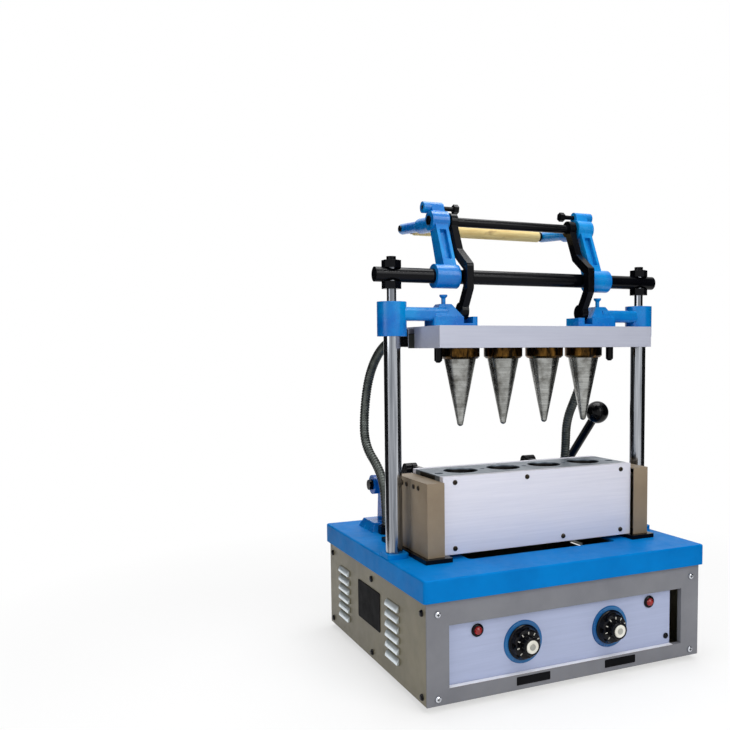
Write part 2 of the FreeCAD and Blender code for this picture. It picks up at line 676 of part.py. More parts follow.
def lamp_body(x):
    """Lamp holder: a bezel on the panel's face and a barrel behind it."""
    bezel, lens, barrel = LAMP_BEZEL_DIAMETER / 2, LAMP_LENS_DIAMETER / 2, LAMP_BODY_DIAMETER / 2
    front = LAMP_BEZEL_HEIGHT
    profile = [(0, -LAMP_BODY_LENGTH), (barrel, -LAMP_BODY_LENGTH), (barrel, 0), (bezel, 0),
               (bezel, 0.5 * front), (lens + LAMP_BEZEL_RIM, front), (lens, front), (lens, 0), (0, 0)]
    return lathe(profile, (x, PANEL_FACE, LAMP_Z), (0, -1, 0))


def lamp_lens(x):
    """Domed lens seated in the bezel."""
    radius = LAMP_LENS_DIAMETER / 2
    height = LAMP_LENS_HEIGHT
    profile = [(0, 0), (radius, 0), (radius, 0.5 * height), (0.8 * radius, 0.8 * height),
               (0.4 * radius, height), (0, height)]
    return lathe(profile, (x, PANEL_FACE, LAMP_Z), (0, -1, 0))


def dial_ring(x):
    """Scale ring that stands on the panel round the knob."""
    wide, bore = DIAL_RING_DIAMETER / 2, DIAL_RING_BORE / 2
    profile = [(bore, 0), (wide, 0), (wide - 0.5 * DIAL_RING_HEIGHT, DIAL_RING_HEIGHT),
               (bore, DIAL_RING_HEIGHT)]
    return lathe(profile, (x, PANEL_FACE, DIAL_Z), (0, -1, 0))


def thermostat(x):
    """Thermostat body behind the panel, with its bush and spindle through it."""
    body = box(around(x, THERMOSTAT_WIDTH), (PANEL_BACK, PANEL_BACK + THERMOSTAT_DEPTH),
               around(DIAL_Z, THERMOSTAT_WIDTH))
    bush = bar((x, PANEL_BACK, DIAL_Z), (x, PANEL_FACE, DIAL_Z), BUSH_DIAMETER)
    spindle = bar((x, PANEL_BACK, DIAL_Z), (x, KNOB_BACK - SPINDLE_REACH, DIAL_Z), SPINDLE_DIAMETER)
    return fuse([body, bush, spindle])


def knob(x):
    """Fluted knob on a wide skirt, with a round nose and a shallow seat for its cap."""
    skirt, grip, face = KNOB_SKIRT_DIAMETER / 2, KNOB_GRIP_DIAMETER / 2, KNOB_FACE_DIAMETER / 2
    nose, cap = KNOB_NOSE_DIAMETER / 2, KNOB_CAP_DIAMETER / 2
    bore = SPINDLE_DIAMETER / 2 + RUNNING_FIT
    sink = SPINDLE_REACH + MOVING_GAP
    body, top = KNOB_BODY_LENGTH, KNOB_LENGTH
    seat = top - KNOB_CAP_RECESS
    profile = [(bore, 0), (skirt, 0), (skirt, 0.5 * KNOB_SKIRT_HEIGHT),
               (grip + KNOB_SKIRT_STEP, KNOB_SKIRT_HEIGHT), (grip, 2 * KNOB_SKIRT_HEIGHT),
               (face, body - KNOB_SHOULDER), (face - KNOB_SHOULDER, body), (nose, body),
               (nose, top - KNOB_NOSE_EDGE), (nose - KNOB_NOSE_EDGE, top), (cap, top), (cap, seat),
               (0, seat), (0, sink), (bore, sink)]
    turned = lathe(profile, (x, KNOB_BACK, DIAL_Z), (0, -1, 0))
    flutes = []
    for i in range(KNOB_FLUTES):
        angle = 2 * math.pi * i / KNOB_FLUTES
        reach = grip + 0.18 * KNOB_FLUTE_DIAMETER
        place = (x + reach * math.cos(angle), DIAL_Z + reach * math.sin(angle))
        flutes.append(bar((place[0], KNOB_BACK - 2 * KNOB_SKIRT_HEIGHT, place[1]),
                          (place[0], KNOB_BACK - KNOB_BODY_LENGTH, place[1]), KNOB_FLUTE_DIAMETER))
    return cut(turned, flutes)


def cable_gland():
    """Mains inlet gland in the back panel: hexagon, threaded stem and domed cap, with an open bore."""
    z = CABINET_BOTTOM + CABLE_GLAND_RISE
    back = -FRONT_Y
    stem = bar((CABLE_GLAND_X, back - 2 * SHEET, z), (CABLE_GLAND_X, back, z), CABLE_GLAND_DIAMETER)
    hexagonal = hexagon((CABLE_GLAND_X, back, z), (0, 1, 0), CABLE_GLAND_FLATS, CABLE_GLAND_HEX)
    wide, bore = CABLE_GLAND_DIAMETER / 2, CABLE_GLAND_BORE / 2
    profile = [(0, CABLE_GLAND_HEX), (wide, CABLE_GLAND_HEX), (wide, 0.75 * CABLE_GLAND_REACH),
               (bore + CABLE_GLAND_RIM, CABLE_GLAND_REACH), (0, CABLE_GLAND_REACH)]
    dome = lathe(profile, (CABLE_GLAND_X, back, z), (0, 1, 0))
    through = bar((CABLE_GLAND_X, back - 2 * SHEET, z), (CABLE_GLAND_X, back + CABLE_GLAND_REACH, z),
                  CABLE_GLAND_BORE)
    return fuse([stem, hexagonal, dome]).cut(through)


# Columns and main shaft

def column():
    """Right column: a bright bar with a spigot through the top plate and a stud for the main shaft."""
    top = SHAFT_Z + SHAFT_DIAMETER / 2 - SHAFT_FLAT + STUD_NUT_HEIGHT + STUD_TIP
    spigot, tall, stud = SPIGOT_DIAMETER / 2, COLUMN_DIAMETER / 2, STUD_DIAMETER / 2
    profile = [(0, PLATE_TOP - SPIGOT_LENGTH), (spigot, PLATE_TOP - SPIGOT_LENGTH), (spigot, PLATE_TOP),
               (tall, PLATE_TOP), (tall, SLEEVE_TOP), (stud, SLEEVE_TOP), (stud, top), (0, top)]
    return lathe(profile, (COLUMN_X, PRESS_Y, 0), (0, 0, 1))


def column_boss():
    """Right boss on the top plate round the column's foot."""
    z = (PLATE_TOP, PLATE_TOP + COLUMN_BOSS_HEIGHT)
    inner = COLUMN_X - COLUMN_DIAMETER / 2 - COLUMN_BOSS_WALL
    boss = box((inner, PLATE_WIDTH / 2 - COLUMN_BOSS_EDGE), around(PRESS_Y, COLUMN_BOSS_DEPTH), z)
    boss = boss.makeFillet(COLUMN_BOSS_ROUND, upright_edges(boss))
    bore = bar((COLUMN_X, PRESS_Y, z[0]), (COLUMN_X, PRESS_Y, z[1]), COLUMN_DIAMETER + 2 * HOLE_FIT)
    return boss.cut(bore)


def column_nuts():
    """One nut under the top plate and two that grip the main shaft's flats."""
    seat = SHAFT_DIAMETER / 2 - SHAFT_FLAT
    bore = STUD_DIAMETER + 2 * RUNNING_FIT
    under = hexagon((COLUMN_X, PRESS_Y, PLATE_UNDER - COLUMN_NUT_HEIGHT), (0, 0, 1), COLUMN_NUT_FLATS,
                    COLUMN_NUT_HEIGHT, SPIGOT_DIAMETER + 2 * RUNNING_FIT)
    lower = hexagon((COLUMN_X, PRESS_Y, SHAFT_Z - seat - STUD_NUT_HEIGHT), (0, 0, 1), STUD_NUT_FLATS,
                    STUD_NUT_HEIGHT, bore)
    upper = hexagon((COLUMN_X, PRESS_Y, SHAFT_Z + seat), (0, 0, 1), STUD_NUT_FLATS, STUD_NUT_HEIGHT, bore)
    return [under, lower, upper]


def main_shaft():
    """Fixed cross shaft that the lever arms turn on."""
    half = SHAFT_LENGTH / 2
    shaft = bar((-half, PRESS_Y, SHAFT_Z), (half, PRESS_Y, SHAFT_Z), SHAFT_DIAMETER)
    tools = []
    seat = SHAFT_DIAMETER / 2 - SHAFT_FLAT
    for x in (-COLUMN_X, COLUMN_X):
        tools.append(bar((x, PRESS_Y, SHAFT_Z - SHAFT_DIAMETER), (x, PRESS_Y, SHAFT_Z + SHAFT_DIAMETER),
                         STUD_DIAMETER + 2 * HOLE_FIT))
        for way in (-1, 1):
            flat = box(around(x, 1.2 * STUD_NUT_FLATS), around(PRESS_Y, SHAFT_DIAMETER),
                       around(SHAFT_Z + way * (seat + SHAFT_FLAT), 2 * SHAFT_FLAT))
            tools.append(flat)
    return cut(shaft, tools)


# Split mould

def cone_form(x, top, grow):
    """Cone with a round tip that hangs from a given height; grow adds a shell all round."""
    middle = top - CORE_LENGTH + CORE_TIP_RADIUS
    upper, lower = CORE_DIAMETER / 2 + grow, CORE_TIP_RADIUS + grow
    cone = Part.makeCone(lower, upper, top - middle, V(x, PRESS_Y, middle))
    return fuse([cone, Part.makeSphere(lower, V(x, PRESS_Y, middle))])


def slide_rail():
    """Flat black bar on the top plate that the mould halves stand on."""
    front = PRESS_Y - MOULD_OUT - RAIL_LEAD
    back = PRESS_Y + MOULD_OUT + MOULD_STROKE + RAIL_LEAD / 2
    return box(around(RAIL_SPACING / 2, RAIL_WIDTH), (front, back), (PLATE_TOP, MOULD_BOTTOM))


def heater_places(way):
    """Depth and heights of a mould half's two heater rods, in the wall outside the cavities."""
    depth = PRESS_Y + way * (MOULD_FACE - 0.7 * HEATER_DIAMETER)
    middle = (MOULD_BOTTOM + MOULD_TOP) / 2
    return [(depth, middle + step * HEATER_SPACING / 2) for step in (-1, 1)]


def heaters(way):
    half = MOULD_END + END_COVER_GAP + END_COVER_WIDTH / 2
    return [bar((-half, y, z), (half, y, z), HEATER_DIAMETER) for y, z in heater_places(way)]


def guide_pin_z():
    return (MOULD_BOTTOM + MOULD_TOP) / 2


def guide_pin():
    """Right guide pin: fixed in the front half, the rear half runs on it."""
    start = (GUIDE_PIN_SPACING / 2, PRESS_Y - GUIDE_PIN_DEPTH, guide_pin_z())
    end = (GUIDE_PIN_SPACING / 2, PRESS_Y + GUIDE_PIN_REACH, guide_pin_z())
    return bar(start, end, GUIDE_PIN_DIAMETER)


def mould_half(way, lift):
    """Half of the heated block; way is -1 in front and 1 behind, lift its clearance on the rails."""
    edges = sorted((PRESS_Y + way * PARTING_GAP / 2, PRESS_Y + way * MOULD_FACE))
    block = box((-MOULD_END, MOULD_END), edges, (MOULD_BOTTOM + lift, MOULD_TOP))
    tools = [cone_form(x, MOULD_TOP + SEAT_GAP, WAFER_GAP) for x in CORE_PLACES]
    for i in range(CORE_COUNT - 1):
        x = CORE_PLACES[i] + CORE_PITCH / 2
        tools.append(bar((x, PRESS_Y, MOULD_TOP - TOP_HOLE_DEPTH), (x, PRESS_Y, MOULD_TOP),
                         TOP_HOLE_DIAMETER))
    socket = LOCATING_PIN_DIAMETER + 4 * MOVING_GAP
    depth = LOCATING_PIN_LENGTH - COLLAR_HEIGHT + 2 * MOVING_GAP
    if way < 0:
        tools += [bar((x, LOCATING_PIN_Y, MOULD_TOP - depth), (x, LOCATING_PIN_Y, MOULD_TOP), socket)
                  for x in around(0, LOCATING_PIN_SPACING)]
    fit = RUNNING_FIT if way > 0 else 0
    back = PRESS_Y + way * (MOULD_FACE if way > 0 else GUIDE_PIN_DEPTH)
    for x in around(0, GUIDE_PIN_SPACING):
        tools.append(bar((x, PRESS_Y, guide_pin_z()), (x, back, guide_pin_z()), GUIDE_PIN_DIAMETER + 2 * fit))
    tools += [bar((-MOULD_END, y, z), (MOULD_END, y, z), HEATER_DIAMETER + 2 * RUNNING_FIT)
              for y, z in heater_places(way)]
    grip = END_COVER_GAP + END_COVER_WIDTH + MOULD_SCREW_GRIP
    ends = [mould_screw_hole(seat, (1, 0, 0), grip) for seat in end_screw_seats(way)]
    return cut(block, tools + ends + [mirrored(hole) for hole in ends])


def mould_cover(way, lift):
    """Bright tray over a mould half's outer face."""
    inner, outer = PRESS_Y + way * MOULD_FACE, PRESS_Y + way * MOULD_OUT
    skin = PRESS_Y + way * (MOULD_OUT - SHEET)
    tray = box((-MOULD_END, MOULD_END), sorted((inner, outer)), (MOULD_BOTTOM + lift, MOULD_TOP))
    hollow = box((-MOULD_END + SHEET, MOULD_END - SHEET), sorted((inner, skin)),
                 (MOULD_BOTTOM + lift + SHEET, MOULD_TOP - SHEET))
    holes = [mould_screw_hole((x, outer, z), (0, way, 0)) for x, z in mould_cover_screw_places()]
    return cut(tray, [hollow] + holes)


def end_cover(way, lift):
    """Right end cover over a half's heater ends: a folded sheet box, open towards the block."""
    low_x = MOULD_END + END_COVER_GAP
    high_x = low_x + END_COVER_WIDTH
    near = PRESS_Y + way * MOVING_GAP
    far = PRESS_Y + way * (MOULD_OUT + (END_COVER_LEAD if way < 0 else 0))
    top = MOULD_TOP - END_COVER_DROP
    y = sorted((near, far))
    shell = box((low_x, high_x), y, (MOULD_BOTTOM + lift, top))
    skin = END_COVER_SHEET
    hollow = box((low_x, high_x - skin), (y[0] + skin, y[1] - skin), (MOULD_BOTTOM + lift, top - skin))
    holes = [mould_screw_hole(seat, (1, 0, 0), END_COVER_WIDTH) for seat in end_screw_seats(way)]
    return cut(shell, [hollow] + holes)


def mould_screws(way):
    """Cover screws on the outer face and long screws through both end covers into the block."""
    outer = PRESS_Y + way * MOULD_OUT
    screws = [mould_screw((x, outer, z), (0, way, 0)) for x, z in mould_cover_screw_places()]
    grip = END_COVER_GAP + END_COVER_WIDTH + MOULD_SCREW_GRIP
    for seat in end_screw_seats(way):
        screws += both_sides(mould_screw(seat, (1, 0, 0), grip))
    return screws


def rod_lug():
    """Right lug on the rear cover, beside the connecting rod's eye."""
    back = PRESS_Y + MOULD_OUT
    x = (ROD_X - ROD_THICKNESS / 2 - MOVING_GAP - LUG_THICKNESS, ROD_X - ROD_THICKNESS / 2 - MOVING_GAP)
    eye = bar((x[0], LUG_Y, THROW_Z), (x[1], LUG_Y, THROW_Z), LUG_DIAMETER)
    web = plate_x([(back, THROW_Z - LUG_DIAMETER), (LUG_Y, THROW_Z - LUG_DIAMETER / 2),
                   (LUG_Y, THROW_Z + LUG_DIAMETER / 2), (back, THROW_Z + LUG_DIAMETER / 2)], x[0], x[1])
    pin_hole = bar((x[0], LUG_Y, THROW_Z), (x[1], LUG_Y, THROW_Z), THROW_PIN_DIAMETER)
    return fuse([eye, web]).cut(pin_hole)


# Press head

def core_plate():
    """Heated plate that the cores hang from."""
    inset = SHEET + HOLE_FIT
    side = HEAD_END - inset
    plate = box((-side, side), (PRESS_Y - HEAD_FRONT + inset, PRESS_Y + HEAD_BACK - inset),
                (HEAD_BOTTOM, HEAD_BOTTOM + CORE_PLATE_HEIGHT))
    tools = [bar((x, PRESS_Y, HEAD_BOTTOM), (x, PRESS_Y, HEAD_BOTTOM + CORE_PLATE_HEIGHT),
                 CORE_SHANK_DIAMETER + 2 * RUNNING_FIT) for x in CORE_PLACES]
    deep = HEAD_BOTTOM + CORE_PLATE_HEIGHT / 2
    tools += [bar((x, LOCATING_PIN_Y, HEAD_BOTTOM), (x, LOCATING_PIN_Y, deep),
                  LOCATING_PIN_DIAMETER + 2 * RUNNING_FIT) for x in around(0, LOCATING_PIN_SPACING)]
    return cut(plate, tools)


def head_cover():
    """Bright sheet cover over the core plate, open below, with end flanges that stop short of the back."""
    y = (PRESS_Y - HEAD_FRONT, PRESS_Y + HEAD_BACK)
    z = (HEAD_BOTTOM, HEAD_TOP)
    cover = box((-HEAD_END, HEAD_END), y, z)
    hollow = box((-HEAD_END + SHEET, HEAD_END - SHEET), (y[0] + SHEET, y[1] - SHEET), (z[0], z[1] - SHEET))
    relief = box((HEAD_END - SHEET, HEAD_END), (y[0] + HEAD_FLANGE, y[1]), (z[0], z[1] - SHEET))
    return cut(cover, [hollow] + both_sides(relief))


def terminal_box():
    """Dark wiring box along the back of the head, open towards the cover."""
    y = (PRESS_Y + HEAD_BACK, TERMINAL_BACK)
    z = (HEAD_BOTTOM + TERMINAL_BOX_INSET, HEAD_TOP - TERMINAL_BOX_INSET)
    side = TERMINAL_BOX_WIDTH / 2
    shell = box((-side, side), y, z)
    hollow = box((-side + SHEET, side - SHEET), (y[0], y[1] - SHEET), (z[0] + SHEET, z[1] - SHEET))
    inlets = [bar((LEFT_GLAND_X, y[1] - SHEET, HEAD_GLAND_Z), (LEFT_GLAND_X, y[1], HEAD_GLAND_Z),
                  CONDUIT_BORE),
              bar((RIGHT_GLAND_X, RIGHT_GLAND_Y, z[0]), (RIGHT_GLAND_X, RIGHT_GLAND_Y, z[0] + SHEET),
                  CONDUIT_BORE)]
    return cut(shell, [hollow] + inlets)


def core(x):
    """Steel core: a cone with a round tip, and a shank through its collar into the core plate."""
    shank = bar((x, PRESS_Y, COLLAR_BOTTOM), (x, PRESS_Y, HEAD_BOTTOM + CORE_PLATE_HEIGHT),
                CORE_SHANK_DIAMETER)
    return fuse([cone_form(x, COLLAR_BOTTOM, 0), shank])


def core_collar(x):
    """Brass collar that closes the mouth of the mould."""
    bore, wide = CORE_SHANK_DIAMETER / 2 + RUNNING_FIT, COLLAR_DIAMETER / 2
    profile = [(bore, 0), (wide - COLLAR_STEP, 0), (wide, COLLAR_STEP), (wide, COLLAR_HEIGHT),
               (bore, COLLAR_HEIGHT)]
    return lathe(profile, (x, PRESS_Y, COLLAR_BOTTOM), (0, 0, 1))


def locating_pin():
    """Right pin under the head that finds its socket in the mould's front half."""
    radius, tip = LOCATING_PIN_DIAMETER / 2, LOCATING_PIN_TIP
    deep = CORE_PLATE_HEIGHT / 2
    profile = [(0, -LOCATING_PIN_LENGTH), (radius - tip, -LOCATING_PIN_LENGTH),
               (radius, tip - LOCATING_PIN_LENGTH),
               (radius, deep), (0, deep)]
    return lathe(profile, (LOCATING_PIN_SPACING / 2, LOCATING_PIN_Y, HEAD_BOTTOM), (0, 0, 1))


def slide_bracket():
    """Right casting: a sleeve on the column, an arm, and a humped pad on the head with the link's slot."""
    sleeve = bar((COLUMN_X, PRESS_Y, SLEEVE_BOTTOM), (COLUMN_X, PRESS_Y, SLEEVE_TOP), SLEEVE_DIAMETER)
    arm = box((HUMP_X, COLUMN_X), around(PRESS_Y, ARM_DEPTH), (ARM_BOTTOM, ARM_TOP))
    arm = arm.makeFillet(ARM_ROUND, long_edges(arm))
    pad = box((PAD_INNER, PAD_OUTER), around(PRESS_Y, PAD_DEPTH), (HEAD_TOP, PAD_TOP))
    pad = pad.makeFillet(ARM_ROUND, upright_edges(pad))
    foot_x = (LINK_X + LINK_THICKNESS / 2 + LINK_SLOT_GAP, PAD_OUTER - HUMP_INSET)
    foot_y = around(PRESS_Y, PAD_DEPTH - 2 * HUMP_INSET)
    foot = Part.makePolygon([V(foot_x[0], foot_y[0], PAD_TOP), V(foot_x[1], foot_y[0], PAD_TOP),
                             V(foot_x[1], foot_y[1], PAD_TOP), V(foot_x[0], foot_y[1], PAD_TOP),
                             V(foot_x[0], foot_y[0], PAD_TOP)])
    half = HUMP_TOP_DIAMETER / 2
    crown = Part.makePolygon([V(HUMP_X + half * sx, PRESS_Y + half * sy, HUMP_TOP)
                              for sx, sy in ((-1, -1), (1, -1), (1, 1), (-1, 1), (-1, -1))])
    hump = Part.makeLoft([foot, crown], True, True)
    slot = box(around(LINK_X, LINK_THICKNESS + 2 * LINK_SLOT_GAP),
               (PRESS_Y - PAD_DEPTH, PRESS_Y + LINK_EYE_DIAMETER / 2 + LINK_SLOT_BACK),
               (HEAD_TOP + PAD_FLOOR, PAD_TOP))
    bore = bar((COLUMN_X, PRESS_Y, SLEEVE_BOTTOM), (COLUMN_X, PRESS_Y, SLEEVE_TOP),
               COLUMN_DIAMETER + 2 * BUSH_WALL)
    thumb = bar((HUMP_X, PRESS_Y, HUMP_TOP - THUMB_SINK), (HUMP_X, PRESS_Y, HUMP_TOP),
                THUMB_SHANK_DIAMETER + 2 * HOLE_FIT)
    return cut(fuse([sleeve, arm, pad, hump]), [slot, bore, thumb])


def sleeve_bush():
    """Bronze bush pressed into the right sleeve."""
    outer = bar((COLUMN_X, PRESS_Y, SLEEVE_BOTTOM), (COLUMN_X, PRESS_Y, SLEEVE_TOP),
                COLUMN_DIAMETER + 2 * BUSH_WALL)
    inner = bar((COLUMN_X, PRESS_Y, SLEEVE_BOTTOM), (COLUMN_X, PRESS_Y, SLEEVE_TOP),
                COLUMN_DIAMETER + 2 * RUNNING_FIT)
    return outer.cut(inner)


def thumb_screw():
    """Small locking screw in the right hump."""
    shank, head = THUMB_SHANK_DIAMETER / 2, THUMB_HEAD_DIAMETER / 2
    top = THUMB_SHANK_LENGTH + THUMB_HEAD_HEIGHT
    profile = [(0, 0), (shank, 0), (shank, THUMB_SHANK_LENGTH),
               (head, THUMB_SHANK_LENGTH + 0.5 * THUMB_HEAD_HEIGHT),
               (head, top), (0, top)]
    return lathe(profile, (HUMP_X, PRESS_Y, HUMP_TOP - THUMB_SINK), (0, 0, 1))


def head_glands():
    """Conduit glands on the wiring box: the left one behind it, the right one under it."""
    behind = hexagon((LEFT_GLAND_X, TERMINAL_BACK, HEAD_GLAND_Z), (0, 1, 0), GLAND_FLATS, HEAD_GLAND_LENGTH,
                     CONDUIT_BORE)
    below = hexagon((RIGHT_GLAND_X, RIGHT_GLAND_Y, TERMINAL_BOTTOM), (0, 0, -1), GLAND_FLATS,
                    HEAD_GLAND_LENGTH,
                    CONDUIT_BORE)
    return [behind, below]


def base_glands():
    """Conduit glands on the top plate, one under the end of each route."""
    return [hexagon((route[-1][0], route[-1][1], PLATE_TOP), (0, 0, 1), GLAND_FLATS, BASE_GLAND_HEIGHT,
                    CONDUIT_BORE)
            for route in (LEFT_ROUTE, RIGHT_ROUTE)]


# Toggle

def leaned(shape):
    """Turns a shape made with its crank straight up to the crank's place at rest."""
    shape.rotate(V(0, PRESS_Y, SHAFT_Z), V(1, 0, 0), -CRANK_LEAN)
    return shape


def handle_line():
    """Start of the right handle tube at the lever's head, and its unit direction to the grip."""
    start = V(HANDLE_X, CRANK_Y + HANDLE_START, CRANK_Z - HANDLE_DROP)
    way = V(HANDLE_X, GRIP_Y, GRIP_Z) - start
    return start, way.normalize()


def lever_arm():
    """Right lever casting: boss, channelled web, head round the crank rod, clamp boss and tube socket."""
    axle = (PRESS_Y, SHAFT_Z)
    head_z = SHAFT_Z + CRANK_RADIUS
    clamp_z = head_z + CLAMP_BOSS_RISE
    boss = bar((LEVER_BOSS_INNER, *axle), (LEVER_BOSS_OUTER, *axle), LEVER_BOSS_DIAMETER)
    low, high = LEVER_DEPTH_LOW / 2, LEVER_DEPTH_HIGH / 2
    web = plate_x([(PRESS_Y - low, SHAFT_Z), (PRESS_Y + low, SHAFT_Z), (PRESS_Y + high, head_z),
                   (PRESS_Y - high, head_z)], LEVER_INNER, LEVER_OUTER)
    channel_x = (LEVER_INNER + LEVER_CHANNEL_RIM, LEVER_OUTER - LEVER_CHANNEL_RIM)
    channel_z = (SHAFT_Z + LEVER_BOSS_DIAMETER / 2 + LEVER_CHANNEL_RIM,
                 head_z - LEVER_HEAD_DIAMETER / 2 - LEVER_CHANNEL_RIM)
    floor = high - LEVER_CHANNEL_DEPTH
    channels = [box(channel_x, sorted((PRESS_Y + way * floor, PRESS_Y + way * 2 * low)), channel_z)
                for way in (-1, 1)]
    web = cut(web, channels)
    head = bar((LEVER_BOSS_INNER, PRESS_Y, head_z), (LEVER_HEAD_OUTER, PRESS_Y, head_z), LEVER_HEAD_DIAMETER)
    clamp = bar((LEVER_INNER, PRESS_Y, clamp_z), (CLAMP_BOSS_OUTER, PRESS_Y, clamp_z), CLAMP_BOSS_DIAMETER)
    neck = box((LEVER_INNER, LEVER_OUTER), around(PRESS_Y, CLAMP_BOSS_DIAMETER), (head_z, clamp_z))
    casting = leaned(fuse([boss, web, head, clamp, neck]))
    start, way = handle_line()
    socket_end = start + way * HANDLE_SOCKET_LENGTH
    root = start - way * HANDLE_START
    socket = bar(tuple(root), tuple(socket_end), HANDLE_SOCKET_DIAMETER)
    tube_bore = bar(tuple(start), tuple(socket_end), HANDLE_TUBE_DIAMETER + 2 * RUNNING_FIT)
    shaft_bore = bar((LEVER_BOSS_INNER, *axle), (LEVER_BOSS_OUTER, *axle), SHAFT_DIAMETER + 2 * RUNNING_FIT)
    rod_bore = bar((LEVER_BOSS_INNER, CRANK_Y, CRANK_Z), (CRANK_ROD_LENGTH / 2, CRANK_Y, CRANK_Z),
                   CRANK_ROD_DIAMETER + 2 * RUNNING_FIT)
    bolt_bore = leaned(bar((LEVER_INNER, PRESS_Y, clamp_z), (CLAMP_BOSS_OUTER, PRESS_Y, clamp_z),
                           CLAMP_BOLT_DIAMETER + 2 * HOLE_FIT))
    return cut(fuse([casting, socket]), [tube_bore, shaft_bore, rod_bore, bolt_bore])


def clamp_bolt():
    """Right clamp bolt through the lever's clamp boss, with its head on the inner side."""
    z = SHAFT_Z + CRANK_RADIUS + CLAMP_BOSS_RISE
    inner = LEVER_INNER - CLAMP_BOLT_REACH
    shank = bar((inner, PRESS_Y, z), (CLAMP_BOSS_OUTER, PRESS_Y, z), CLAMP_BOLT_DIAMETER)
    head = hexagon((inner - CLAMP_HEAD_LENGTH, PRESS_Y, z), (1, 0, 0), CLAMP_HEAD_DIAMETER, CLAMP_HEAD_LENGTH)
    return leaned(fuse([shank, head]))


def crank_rod():
    half = CRANK_ROD_LENGTH / 2
    return bar((-half, CRANK_Y, CRANK_Z), (half, CRANK_Y, CRANK_Z), CRANK_ROD_DIAMETER)


def link_route():
    """Centre line of a link: down from the crank rod, round the front of the shaft, to the head."""
    return [(CRANK_Y, CRANK_Z),
            (PRESS_Y + LINK_KNEE_BACK, SHAFT_Z + LINK_KNEE_RISE),
            (PRESS_Y - LINK_FRONT, SHAFT_Z + LINK_FRONT_RISE),
            (PRESS_Y - LINK_FRONT, SHAFT_Z - LINK_FRONT_DROP),
            (PRESS_Y, LINK_PIVOT_Z)]


def flat_bar(route, x, width):
    """Bent flat bar in a plane of constant x, with round corners."""
    pieces = []
    for (y0, z0), (y1, z1) in zip(route, route[1:]):
        length = math.hypot(y1 - y0, z1 - z0)
        dy, dz = -(z1 - z0) / length * width / 2, (y1 - y0) / length * width / 2
        outline = [(y0 + dy, z0 + dz), (y1 + dy, z1 + dz), (y1 - dy, z1 - dz), (y0 - dy, z0 - dz)]
        pieces.append(plate_x(outline, x[0], x[1]))
    for y, z in route[1:-1]:
        pieces.append(bar((x[0], y, z), (x[1], y, z), width))
    return pieces


def toggle_link():
    """Right link: a bent bar with an eye on the crank rod and a pinned end at the head."""
    x = around(LINK_X, LINK_THICKNESS)
    route = link_route()
    pieces = flat_bar(route, x, LINK_WIDTH)
    for y, z in (route[0], route[-1]):
        pieces.append(bar((x[0], y, z), (x[1], y, z), LINK_EYE_DIAMETER))
    rod_bore = bar((x[0], CRANK_Y, CRANK_Z), (x[1], CRANK_Y, CRANK_Z), CRANK_ROD_DIAMETER + 2 * RUNNING_FIT)
    return fuse(pieces).cut(rod_bore)


def handle_tube():
    """Right tube from the lever's head back to the grip spindle."""
    start, way = handle_line()
    end = V(HANDLE_X, GRIP_Y, GRIP_Z) + way * GRIP_TUBE_TAIL
    tube = bar(tuple(start), tuple(end), HANDLE_TUBE_DIAMETER)
    hole = bar((HANDLE_X - HANDLE_TUBE_DIAMETER, GRIP_Y, GRIP_Z),
               (HANDLE_X + HANDLE_TUBE_DIAMETER, GRIP_Y, GRIP_Z),
               GRIP_SPINDLE_DIAMETER + 2 * RUNNING_FIT)
    return tube.cut(hole)


def grip_spindle():
    """Rod through both handle tubes, with a ferrule at each end of the grip."""
    half = GRIP_SPINDLE_LENGTH / 2
    inner = GRIP_LENGTH / 2 + MOVING_GAP
    rod = bar((-half, GRIP_Y, GRIP_Z), (half, GRIP_Y, GRIP_Z), GRIP_SPINDLE_DIAMETER)
    ferrule = bar((inner, GRIP_Y, GRIP_Z), (inner + FERRULE_LENGTH, GRIP_Y, GRIP_Z), FERRULE_DIAMETER)
    return fuse([rod] + both_sides(ferrule))


def wooden_grip():
    """Turned wooden sleeve, eased at both ends."""
    half, radius = GRIP_LENGTH / 2, GRIP_DIAMETER / 2
    bore = GRIP_SPINDLE_DIAMETER / 2 + RUNNING_FIT
    ease = 0.25 * radius
    profile = [(bore, -half), (radius - ease, -half), (radius, ease - half), (radius, half - ease),
               (radius - ease, half), (bore, half)]
    return lathe(profile, (0, GRIP_Y, GRIP_Z), (1, 0, 0))


# Mould opening gear

